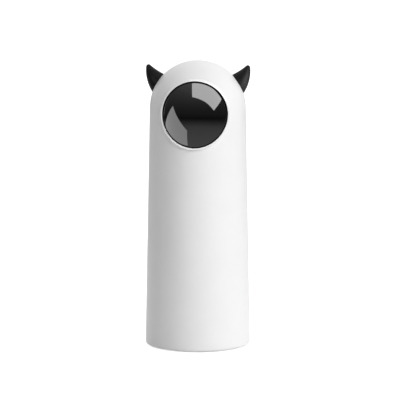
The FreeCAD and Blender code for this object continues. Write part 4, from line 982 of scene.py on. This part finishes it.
def place_group(tree, group, point, **values):
    made = tree.nodes.new("ShaderNodeGroup")
    made.node_tree = group
    tree.links.new(point, made.inputs["Point"])
    for key, value in values.items():
        made.inputs[key.replace("_", " ")].default_value = value
    return made.outputs


def give_relief(tree, shader, height, depth, under=None):
    """Bump of a real depth in metres, over an edge normal if there is one."""
    bump = node(tree, "Bump", {"Height": height, "Distance": depth, "Strength": 1.0})
    if under is not None:
        tree.links.new(under, bump.inputs["Normal"])
    tree.links.new(bump.outputs["Normal"], shader.inputs["Normal"])


def paint_node(name, material):
    """Give a CAD node a finish; its mesh stays as it is."""
    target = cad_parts[name]
    if not target.material_slots:
        target.data.materials.append(material)
    for place in target.material_slots:
        place.material = material


print("axes that a pattern can be turned to:", ", ".join(AXIS_TURN))

# %% [markdown]
# Moulded plastic covers most of the toy.  The colour wanders a little with the
# cloud, smudges change the shine, and the grain is a few micrometres deep.  All of
# it is barely visible from afar, and shows close up.

# %% Material: moulded plastic
def moulded(name, colour, roughness, grain=0.2 * MM, depth=0.004 * MM, mottle=0.03, smudge=0.06,
            edge=0.0, specular=0.5, cloud=14 * MM):
    """Grain, cloud, depth and edge are sizes; mottle is a share of the tone, and smudge is added to the
    roughness.
    """
    material, tree, shader, point = start_material(name)
    skin = place_group(tree, moulded_skin, point, Grain_Size=grain, Cloud_Size=cloud)
    darker = tuple(channel * (1.0 - mottle) for channel in colour)
    lighter = tuple(min(1.0, channel * (1.0 + mottle * 0.4)) for channel in colour)
    share = spread(tree, skin["Cloud"], 0.3, 0.7, 0.0, 1.0)
    tree.links.new(blend_colours(tree, share, darker, lighter), shader.inputs["Base Color"])
    tree.links.new(between(tree, skin["Smudge"], roughness, roughness + smudge), shader.inputs["Roughness"])
    shader.inputs["Specular IOR Level"].default_value = specular
    under = None
    if edge > 0.0:
        under = place_group(tree, broken_edge, point, Radius=edge)["Normal"]
    give_relief(tree, shader, skin["Grain"], depth, under)
    return material


print("moulded plastic takes a colour, a shine and a grain")

# %% [markdown]
# Metal is one colour with streaks in its shine.  Tarnish dulls and darkens it in
# patches, and the worn edge is brighter.

# %% Material: worked metal
STREAK_DEPTH = 0.003 * MM
TARNISH_DARKER = 0.25
TARNISH_ROUGHER = 0.12
WORN_BRIGHTER = 1.2
STREAK_SHINE, STREAK_DULL = 0.75, 1.3     # of the roughness


def metal(name, colour, roughness, centre, axis, turned):
    material, tree, shader, point = start_material(name, centre, axis)
    work = place_group(tree, worked_metal, point, Fineness=0.08 * MM, Turned=turned)
    rim = place_group(tree, broken_edge, point, Radius=0.12 * MM)
    shader.inputs["Metallic"].default_value = 1.0
    darker = tuple(channel * (1.0 - TARNISH_DARKER) for channel in colour)
    brighter = tuple(min(1.0, channel * WORN_BRIGHTER) for channel in colour)
    base = blend_colours(tree, work["Tarnish"], colour, darker)
    tree.links.new(blend_colours(tree, rim["Wear"], base, brighter), shader.inputs["Base Color"])
    streaked = spread(tree, work["Streak"], 0.3, 0.7, roughness * STREAK_SHINE, roughness * STREAK_DULL)
    rough = math_node(tree, "ADD", streaked,
                      math_node(tree, "MULTIPLY", work["Tarnish"], TARNISH_ROUGHER))
    tree.links.new(rough, shader.inputs["Roughness"])
    give_relief(tree, shader, work["Streak"], STREAK_DEPTH, rim["Normal"])
    return material


print("worked metal takes a colour, a shine and the axis it was worked along")

# %% [markdown]
# The outside finishes.  The shell and the bead are the same bright white plastic,
# the bead a little shinier.  The visor is polished black, the horns a softer black,
# and the foot ring is rubber with a coarser grain.

# %% Outside finishes
WHITE = (0.87, 0.87, 0.87)
outside = {
    "pillar_shell": moulded("white plastic", WHITE, 0.42, mottle=0.012, specular=0.4),
    "visor_bead": moulded("white bead plastic", WHITE, 0.3, mottle=0.012, specular=0.5),
    "button_cap": moulded("white button plastic", (0.84, 0.84, 0.84), 0.36, grain=0.3 * MM,
                          depth=0.008 * MM, mottle=0.015),
    "bottom_cap": moulded("white base plastic", (0.82, 0.82, 0.82), 0.5, grain=0.35 * MM,
                          depth=0.012 * MM, mottle=0.03),
    "visor_window": moulded("polished black", (0.0012, 0.0012, 0.0012), 0.035, grain=3.0 * MM,
                            depth=0.0004 * MM, mottle=0.3, smudge=0.02, cloud=9 * MM),
    "horn_right": moulded("black horn plastic", (0.008, 0.008, 0.008), 0.34, grain=0.25 * MM,
                          depth=0.003 * MM, mottle=0.2, smudge=0.07, specular=0.23, cloud=6 * MM),
    "foot_tread": moulded("foot rubber", (0.045, 0.045, 0.048), 0.78, grain=0.35 * MM,
                          depth=0.02 * MM, mottle=0.25, smudge=0.1, specular=0.3, cloud=8 * MM),
    "socket_tongue": moulded("socket tongue", (0.02, 0.02, 0.022), 0.4, grain=0.1 * MM, mottle=0.2,
                             cloud=2 * MM),
    "socket_tube": metal("socket nickel", (0.62, 0.61, 0.58), 0.28, middle("usb_socket"), "Y", 0.0),
}
outside["horn_left"] = outside["horn_right"]
for name, material in outside.items():
    bpy.data.objects[name].data.materials.append(material)
# Second finish of the lens: a dull black rim, painted shade that stands in for the dark gap between lens
# and bead.
lens.data.materials.append(moulded("dull black rim", (0.004, 0.004, 0.004), 0.7, mottle=0.3,
                                   specular=0.05, cloud=9 * MM))
print(len(outside), "pieces finished outside")

# %% [markdown]
# The light pipe is clear acrylic, the status light clear epoxy and the laser's lens
# glass.  They keep a plain transmission, and only their surface is textured: slightly
# frosted, with tiny swirls from the mould.

# %% Clear parts
def clear(name, colour, roughness, transmission=0.9, ior=1.49):
    material, tree, shader, point = start_material(name)
    skin = place_group(tree, moulded_skin, point, Grain_Size=0.3 * MM, Cloud_Size=1.5 * MM)
    tint = tuple(channel * 0.93 for channel in colour)
    tree.links.new(blend_colours(tree, skin["Cloud"], colour, tint), shader.inputs["Base Color"])
    tree.links.new(between(tree, skin["Smudge"], roughness, roughness + 0.12), shader.inputs["Roughness"])
    shader.inputs["Transmission Weight"].default_value = transmission
    shader.inputs["IOR"].default_value = ior
    give_relief(tree, shader, skin["Grain"], 0.002 * MM)
    return material


bpy.data.objects["light_window"].data.materials.append(clear("frosted acrylic", (0.93, 0.95, 0.96), 0.22))
paint_node("status_led", clear("led epoxy", (0.85, 0.9, 0.88), 0.15, 0.6))
paint_node("laser_lens", clear("laser glass", (0.98, 0.9, 0.9), 0.02, 1.0, 1.52))
print("light window, status light and laser lens are clear")

# %% [markdown]
# A circuit board: green mask over glass weave, tracks slightly raised, holes plated
# in gold.  The main board and the laser's board stand upright and the charging board
# lies, so the pattern is turned to the axis along which each board is thin.

# %% Circuit boards
MASK_DARK, MASK_LIGHT = (0.006, 0.085, 0.03), (0.012, 0.125, 0.045)
MASK_ON_COPPER = (0.03, 0.24, 0.08)
GOLD = (0.75, 0.53, 0.22)


def board(name, centre, axis):
    material, tree, shader, point = start_material(name, centre, axis)
    layout = place_group(tree, board_routing, point, Pitch=1.1 * MM)
    skin = place_group(tree, moulded_skin, point, Grain_Size=0.15 * MM, Cloud_Size=5 * MM)
    mask = blend_colours(tree, skin["Cloud"], MASK_DARK, MASK_LIGHT)
    tracks = math_node(tree, "MULTIPLY", layout["Track"], 0.75)
    lit = blend_colours(tree, tracks, mask, MASK_ON_COPPER)
    tree.links.new(blend_colours(tree, layout["Pad"], lit, GOLD), shader.inputs["Base Color"])
    tree.links.new(layout["Pad"], shader.inputs["Metallic"])
    tree.links.new(between(tree, skin["Smudge"], 0.24, 0.38), shader.inputs["Roughness"])
    raised = math_node(tree, "ADD", math_node(tree, "ADD", layout["Track"], layout["Pad"]),
                       math_node(tree, "MULTIPLY", layout["Weave"], 0.15))
    give_relief(tree, shader, raised, 0.03 * MM)
    return material


for name in ("main_board", "charge_board", "laser_board"):
    low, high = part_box(name)
    size = high - low
    thin = "XYZ"[min(range(3), key=lambda index: size[index])]
    paint_node(name, board("board of " + name, middle(name), thin))
    print(name, "is thin along", thin)

# %% [markdown]
# The cell wears a shrunk plastic sleeve, which is smooth along the middle and
# puckered at its ends where it was drawn over the edge.  The pucker is a noise that
# is read by the angle round the cell and fades in near the ends.  The foam pad
# behind it is open-pored, and its pores are coloured darker than their walls:
# painted shade in the hollows.

# %% Cell sleeve and foam
SLEEVE_DARK, SLEEVE_LIGHT = (0.02, 0.13, 0.34), (0.03, 0.17, 0.42)
FOAM_PORE_SHADE, FOAM_WALL = (0.012, 0.012, 0.013), (0.06, 0.06, 0.063)
PUCKER_FROM = 0.86             # of the cell's half length
PUCKER_FREQUENCY = 9.0
PORE_FREQUENCY = 1900.0


def cell_sleeve(centre, half_length):
    material, tree, shader, point = start_material("cell sleeve", centre)
    skin = place_group(tree, moulded_skin, point, Grain_Size=0.8 * MM, Cloud_Size=9 * MM)
    here = coordinates(tree, point)
    turn = math_node(tree, "ARCTAN2", here["Y"], here["X"])
    rise = math_node(tree, "ABSOLUTE", here["Z"])
    near_end = spread(tree, rise, half_length * PUCKER_FROM, half_length, 0.0, 1.0)
    around = node(tree, "CombineXYZ", {"X": turn, "Y": math_node(tree, "MULTIPLY", here["Z"], 40.0)})
    pucker = math_node(tree, "MULTIPLY", near_end,
                       noise(tree, around.outputs["Vector"], PUCKER_FREQUENCY, 2.0))
    tree.links.new(blend_colours(tree, skin["Cloud"], SLEEVE_DARK, SLEEVE_LIGHT),
                   shader.inputs["Base Color"])
    tree.links.new(between(tree, skin["Smudge"], 0.24, 0.4), shader.inputs["Roughness"])
    height = math_node(tree, "ADD", pucker, math_node(tree, "MULTIPLY", skin["Grain"], 0.03))
    give_relief(tree, shader, height, 0.25 * MM)
    return material


def foam():
    material, tree, shader, point = start_material("pad foam")
    pores = node(tree, "TexVoronoi", {"Vector": point, "Scale": PORE_FREQUENCY}).outputs["Distance"]
    wall = spread(tree, pores, 0.1, 0.55, 0.0, 1.0)
    # Painted shade: the pores are coloured darker than their walls, as hollows in shade would be.
    tree.links.new(blend_colours(tree, wall, FOAM_PORE_SHADE, FOAM_WALL), shader.inputs["Base Color"])
    tree.links.new(between(tree, wall, 0.8, 0.95), shader.inputs["Roughness"])
    give_relief(tree, shader, wall, 0.15 * MM)
    return material


cell_low, cell_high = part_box("battery_cell")
cell_half = (cell_high.z - cell_low.z) / 2.0
paint_node("battery_cell", cell_sleeve(middle("battery_cell"), cell_half))
paint_node("battery_pad", foam())
print("the sleeve puckers over the last %.1f mm at each end" % (cell_half * (1.0 - PUCKER_FROM) / MM))

# %% [markdown]
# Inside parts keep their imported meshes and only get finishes.  Turned and drawn
# parts name the axis they were worked along, and their table is read by one loop.

# %% Metal inside
STEEL, BRASS = (0.5, 0.5, 0.5), (0.72, 0.5, 0.2)
NICKEL, ZINC = (0.62, 0.61, 0.57), (0.42, 0.43, 0.45)
turned_metal = {
    "base_screws": (ZINC, 0.35, "Z"), "board_screws": (ZINC, 0.35, "Y"),
    "pan_motor_screws": (ZINC, 0.35, "Z"), "turntable_screw": (ZINC, 0.32, "Z"),
    "yoke_screws": (ZINC, 0.35, "Z"), "cradle_grub_screw": ((0.12, 0.12, 0.12), 0.45, "Z"),
    "turntable_washer": (ZINC, 0.3, "Z"), "pan_pinion": (BRASS, 0.28, "Z"),
    "tilt_pinion": (BRASS, 0.28, "X"), "laser_barrel": (BRASS, 0.22, "Y"),
    "pan_motor_shaft": (STEEL, 0.2, "Z"), "tilt_motor_shaft": (STEEL, 0.2, "X"),
}
drawn_metal = {
    "battery_tabs": (NICKEL, 0.3, "Z"), "pan_gearbox": (STEEL, 0.33, "Z"),
    "pan_motor_can": (STEEL, 0.28, "Z"), "tilt_motor_can": (STEEL, 0.28, "X"),
    "tilt_motor_clip": (STEEL, 0.34, "X"),
}
for table, turned in ((turned_metal, 1.0), (drawn_metal, 0.0)):
    for name, (colour, roughness, axis) in table.items():
        paint_node(name, metal("metal of " + name, colour, roughness, middle(name), axis, turned))
print(len(turned_metal), "turned and", len(drawn_metal), "drawn metal nodes")

# %% [markdown]
# Plastic parts name their colour, their shine, and the size and depth of their
# grain.  Gears and cradle are a cream acetal, the chassis and the yoke a grey
# filled plastic, and the chips are black.

# %% Plastic inside
EDGE = 0.15 * MM
CREAM, CHIP = (0.78, 0.77, 0.73), (0.025, 0.025, 0.027)
inside_plastic = {
    "chassis": ((0.32, 0.33, 0.34), 0.5, 0.4 * MM, 0.012 * MM),
    "turret_yoke": ((0.27, 0.28, 0.29), 0.45, 0.3 * MM, 0.01 * MM),
    "turntable_gear": (CREAM, 0.38, 0.15 * MM, 0.003 * MM),
    "tilt_sector": (CREAM, 0.38, 0.15 * MM, 0.003 * MM),
    "laser_cradle": ((0.74, 0.73, 0.69), 0.4, 0.2 * MM, 0.004 * MM),
    "wire_sockets": ((0.75, 0.72, 0.64), 0.42, 0.15 * MM, 0.004 * MM),
    "pan_motor_endcap": ((0.7, 0.69, 0.65), 0.45, 0.15 * MM, 0.004 * MM),
    "switch_housing": ((0.03, 0.03, 0.032), 0.45, 0.15 * MM, 0.005 * MM),
    "switch_plunger": ((0.05, 0.05, 0.05), 0.38, 0.1 * MM, 0.003 * MM),
    "controller_chip": (CHIP, 0.55, 0.08 * MM, 0.006 * MM),
    "charge_chip": (CHIP, 0.55, 0.08 * MM, 0.006 * MM),
    "board_parts": ((0.07, 0.07, 0.075), 0.5, 0.12 * MM, 0.006 * MM),
}
for name, (colour, roughness, grain, depth) in inside_plastic.items():
    paint_node(name, moulded("plastic of " + name, colour, roughness, grain, depth, mottle=0.08,
                             edge=EDGE, cloud=5 * MM))
print(len(inside_plastic), "plastic nodes")

# %% [markdown]
# A node that was forgotten would keep the plain material it came with.  The first
# word of each material's name tells whether it was made here.

# %% Is anything still bare?
FINISHES = ("metal", "plastic", "cell", "pad", "board", "led", "laser")
bare = [name for name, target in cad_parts.items() if not target.hide_render
        and target.material_slots[0].material.name.split(" ")[0] not in FINISHES]
print(len(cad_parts) - len(bare), "nodes finished, still bare:", bare)

# %% [markdown]
# The studio.  The camera stands far off with a long lens, a little to the right of
# the toy's front and slightly above it, so that the pillar's sides stay almost
# straight in the render.

# %% Camera
CAMERA_AZIMUTH = math.radians(4.29)
CAMERA_ELEVATION = math.radians(9.5)
CAMERA_DISTANCE = 3.0
CAMERA_LENS = 472.3
SENSOR_WIDTH = 36.0
AIM_HEIGHT = 83.35 * MM
AIM_ASIDE = 1.24 * MM


def direction(azimuth, elevation):
    """Unit vector towards a place in the studio; azimuth 0 is the toy's front."""
    return Vector((math.sin(azimuth) * math.cos(elevation), -math.cos(azimuth) * math.cos(elevation),
                   math.sin(elevation)))


def aim(thing, away, front):
    """Turn a thing so that its front axis looks along a vector."""
    thing.rotation_mode = "QUATERNION"
    thing.rotation_quaternion = away.to_track_quat(front, "Y")


def make_camera():
    data = bpy.data.cameras.new("camera")
    data.lens = CAMERA_LENS
    data.sensor_width = SENSOR_WIDTH
    data.clip_start, data.clip_end = 0.1, 100.0
    camera = add_object("camera", data)
    back = direction(CAMERA_AZIMUTH, CAMERA_ELEVATION)
    right = Vector((math.cos(CAMERA_AZIMUTH), math.sin(CAMERA_AZIMUTH), 0.0))
    camera.location = Vector((0, 0, AIM_HEIGHT)) + right * AIM_ASIDE + back * CAMERA_DISTANCE
    aim(camera, -back, "-Z")
    bpy.context.scene.camera = camera
    return camera


camera = make_camera()
bpy.context.scene.view_settings.view_transform = "Standard"
print("camera at", [round(value, 3) for value in camera.location])

# %% [markdown]
# A polished black visor shows nothing but its surroundings, so the studio has to be
# worth mirroring.  From the floor up, the mirrored tone first falls to a dark band
# at eye level and then rises slowly.  The band is a little lower to the sides, so
# that it looks level in the curved visor.  Both the floor and the flag, which stands
# round the front of the toy, take their mirrored tone from the same short ramp.

# %% Mirrored tones of the studio
FLAG_RADIUS = 2.0
FLAG_HEIGHT = 3.5
SIDE_DROP = 0.29               # how much lower the dark band is at the sides
MIRROR_LOW, MIRROR_HIGH = -1.5, 3.5
MIRROR_TONES = ((-1.5, 1.12), (-0.75, 1.03), (-0.4, 0.93), (-0.14, 0.78), (0.0, 0.54), (0.12, 0.37),
                (0.24, 0.19), (0.35, 0.085), (0.48, 0.135), (0.6, 0.18), (0.85, 0.225), (1.15, 0.31),
                (1.6, 0.45), (2.2, 0.62), (2.6, 0.78), (3.5, 0.85))


def mirrored_tone(tree, rise):
    share = spread(tree, rise, MIRROR_LOW, MIRROR_HIGH, 0.0, 1.0)
    ramp = node(tree, "ValToRGB", {"Fac": share})
    stops = ramp.color_ramp.elements
    while len(stops) < len(MIRROR_TONES):
        stops.new(0.5)
    for stop, (height, tone) in zip(stops, MIRROR_TONES):
        stop.position = (height - MIRROR_LOW) / (MIRROR_HIGH - MIRROR_LOW)
        stop.color = (tone, tone, tone, 1.0)
    return ramp.outputs["Color"]


print(len(MIRROR_TONES), "mirrored tones")

# %% [markdown]
# A big pale floor, and a world that is white to the eye and in reflections but
# lights the toy at a plain level.  The floor adds white only for what the camera
# sees, so the toy's soft shadow stays on it.

# %% Floor
FLOOR_HALF = 12.0
FLOOR_COLOUR = (0.7, 0.7, 0.7)
FLOOR_GLOW = 0.78


def floor_rise(tree, here):
    """Height at which a line from the visor through a point of the floor meets the flag."""
    away = distance(tree, here["X"], here["Y"])
    sideways = math_node(tree, "ADD", math_node(tree, "DIVIDE", here["Y"], away), 1.0, clamp=True)
    below = math_node(tree, "SUBTRACT", visor_z, math_node(tree, "DIVIDE", visor_z * FLAG_RADIUS, away))
    return math_node(tree, "ADD", below, math_node(tree, "MULTIPLY", sideways, SIDE_DROP))


def make_floor():
    bm = bmesh.new()
    bmesh.ops.create_grid(bm, x_segments=1, y_segments=1, size=FLOOR_HALF)
    floor = finish_mesh(bm, "floor")
    material = bpy.data.materials.new("pale floor")
    tree = clear_tree(material)
    path = node(tree, "LightPath").outputs
    rise = floor_rise(tree, coordinates(tree, node(tree, "TexCoord").outputs["Object"]))
    seen = math_node(tree, "ADD", path["Is Camera Ray"], path["Is Transmission Ray"], clamp=True)
    glow = math_node(tree, "ADD", math_node(tree, "MULTIPLY", seen, FLOOR_GLOW),
                     math_node(tree, "MULTIPLY", path["Is Glossy Ray"], mirrored_tone(tree, rise)))
    paint = blend_colours(tree, path["Is Glossy Ray"], FLOOR_COLOUR, (0.0, 0.0, 0.0))
    shader = node(tree, "BsdfPrincipled", {"Base Color": paint, "Roughness": 0.9,
                                           "Specular IOR Level": 0.0, "Emission Color": (1, 1, 1, 1),
                                           "Emission Strength": glow})
    tree.links.new(shader.outputs["BSDF"], node(tree, "OutputMaterial").inputs["Surface"])
    floor.data.materials.append(material)


make_floor()
print("floor of %.0f by %.0f m" % (2.0 * FLOOR_HALF, 2.0 * FLOOR_HALF))

# %% World
WORLD_LIGHT = 0.315


def make_world():
    world = bpy.data.worlds.new("studio")
    bpy.context.scene.world = world
    tree = clear_tree(world)
    path = node(tree, "LightPath").outputs
    seen = math_node(tree, "ADD", math_node(tree, "ADD", path["Is Camera Ray"], path["Is Glossy Ray"]),
                     path["Is Transmission Ray"], clamp=True)
    strength = node(tree, "Mix", {0: seen, 2: WORLD_LIGHT, 3: 1.0}, data_type="FLOAT")
    sky = node(tree, "Background", {"Color": (1, 1, 1, 1), "Strength": strength.outputs[0]})
    tree.links.new(sky.outputs["Background"], node(tree, "OutputWorld").inputs["Surface"])


make_world()
print("the world lights the toy at", WORLD_LIGHT)

# %% [markdown]
# Two soft lamps model the pillar's round: the key from the front right, and a weaker
# fill from behind that keeps the far edge and the rear from going grey.  Both are
# suns with wide discs, so the light is even from the foot to the dome.  Only the key
# shows in glossy plastic, and the visor mirrors neither lamp, because it would show
# them as plain round spots.

# %% Lamps
def group_of(name, *pieces):
    """A collection that tells a light which pieces it is meant for."""
    collection = bpy.data.collections.new(name)
    for piece in pieces:
        collection.objects.link(piece)
    return collection


def hang_lamp(name, data, azimuth, elevation, lit):
    lamp = add_object(name, data)
    toward = direction(math.radians(azimuth), math.radians(elevation))
    aim(lamp, toward, "Z")
    lamp.light_linking.receiver_collection = lit
    return lamp, toward


def make_sun(name, azimuth, elevation, disc, strength, glossy):
    data = bpy.data.lights.new(name, "SUN")
    data.energy = strength
    data.angle = math.radians(disc)
    lamp, _ = hang_lamp(name, data, azimuth, elevation, all_but_visor)
    lamp.visible_glossy = glossy


all_but_visor = group_of("all but the visor", lens)
all_but_visor.collection_objects[0].light_linking.link_state = "EXCLUDE"
make_sun("key", azimuth=51.0, elevation=30.0, disc=45.0, strength=2.18, glossy=True)
make_sun("fill", azimuth=-165.0, elevation=35.0, disc=60.0, strength=1.3, glossy=False)
print("key and fill ready")

# %% [markdown]
# The horns are satin black, so they show little but what they mirror.  A small panel
# on each side of the head lays a soft sheen on their outer flanks.  Panels are area
# lamps here and not glowing sheets, because a lamp that is meant for one piece stays
# unseen in all the others, and a sheet would show in the visor as a black shape.

# %% Panels beside the horns
PANEL_WIDTH = 0.15
PANEL_HEIGHT = 0.105
PANEL_DISTANCE = 0.15

visor_front = Vector((0.0, apex.y, visor_z))


def hide_from(thing, *rays):
    """Leave a thing unseen by the named kinds of rays."""
    for ray in rays:
        setattr(thing, "visible_" + ray, False)


def make_panel(name, azimuth, elevation, strength):
    data = bpy.data.lights.new(name, "AREA")
    data.shape = "RECTANGLE"
    data.size, data.size_y = PANEL_WIDTH, PANEL_HEIGHT
    data.energy = strength * math.pi * PANEL_WIDTH * PANEL_HEIGHT
    lamp, toward = hang_lamp(name, data, azimuth, elevation, both_horns)
    lamp.location = visor_front + PANEL_DISTANCE * toward
    hide_from(lamp, "camera", "diffuse", "transmission")


both_horns = group_of("both horns", left_horn, right_horn)
make_panel("right_panel", azimuth=66.0, elevation=-5.0, strength=2.85)
make_panel("left_panel", azimuth=-56.0, elevation=-16.0, strength=1.3)
print("a panel on each side of the head")

# %% [markdown]
# The flag is a tall curved sheet round the front of the toy, spun from one upright
# edge.  Two bright cards with slanted edges give the window-like reflections in the
# visor.  All are seen only in reflections and shade nothing.

# %% Flag
FLAG_HALF_TURN = math.radians(100.0)
FLAG_STEPS = 48
FLAG_FOOT = 1.0 * MM


def only_mirrored(thing):
    hide_from(thing, "camera", "diffuse", "transmission", "volume_scatter", "shadow")


def glow_material(name, strength):
    material = bpy.data.materials.new(name)
    tree = clear_tree(material)
    glow = node(tree, "Emission", {"Strength": strength})
    tree.links.new(glow.outputs["Emission"], node(tree, "OutputMaterial").inputs["Surface"])
    return material, tree, glow


def make_flag():
    bm = bmesh.new()
    start = direction(-FLAG_HALF_TURN, 0.0) * FLAG_RADIUS
    low = bm.verts.new((start.x, start.y, FLAG_FOOT))
    high = bm.verts.new((start.x, start.y, FLAG_HEIGHT))
    edge = bm.edges.new((low, high))
    bmesh.ops.spin(bm, geom=[low, high, edge], cent=(0, 0, 0), axis=(0, 0, 1),
                   angle=2.0 * FLAG_HALF_TURN, steps=FLAG_STEPS)
    flag = finish_mesh(bm, "flag")
    material, tree, glow = glow_material("flag tones", 1.0)
    here = coordinates(tree, node(tree, "TexCoord").outputs["Object"])
    sideways = math_node(tree, "ADD", math_node(tree, "DIVIDE", here["Y"], FLAG_RADIUS), 1.0)
    rise = math_node(tree, "ADD", here["Z"], math_node(tree, "MULTIPLY", sideways, SIDE_DROP))
    tree.links.new(mirrored_tone(tree, rise), glow.inputs["Color"])
    flag.data.materials.append(material)
    only_mirrored(flag)


make_flag()
print("flag %.1f m tall, %.1f m from the toy" % (FLAG_HEIGHT, FLAG_RADIUS))

# %% Cards
WINDOW_CORNERS = ((-0.45, 1.0), (-0.74, 0.29), (-0.06, -0.18), (0.28, -0.48), (1.15, -0.02), (0.6, 0.4))
SIDE_CORNERS = ((-0.3, 0.61), (-0.8, -0.13), (-0.5, -0.45), (0.44, -0.83), (0.66, -0.17))


def make_card(name, azimuth, elevation, distance_off, corners, strength):
    """Sheet that faces the visor; its corners are in units of its distance."""
    azimuth, elevation = math.radians(azimuth), math.radians(elevation)
    toward = direction(azimuth, elevation)
    across = Vector((math.cos(azimuth), math.sin(azimuth), 0.0))
    up = toward.cross(across)
    bm = bmesh.new()
    for u, v in corners:
        bm.verts.new(visor_front + distance_off * (toward + across * u + up * v))
    bmesh.ops.contextual_create(bm, geom=bm.verts[:])
    card = finish_mesh(bm, name)
    card.data.materials.append(glow_material(name + " glow", strength)[0])
    only_mirrored(card)
    card.light_linking.receiver_collection = visor_pieces


visor_pieces = group_of("visor and its bead", lens, bead)
make_card("window_card", 40.0, 42.0, 1.3, WINDOW_CORNERS, strength=9.5)
make_card("side_card", -60.0, -12.0, 0.13, SIDE_CORNERS, strength=4.6)
print("two cards stand for the windows")
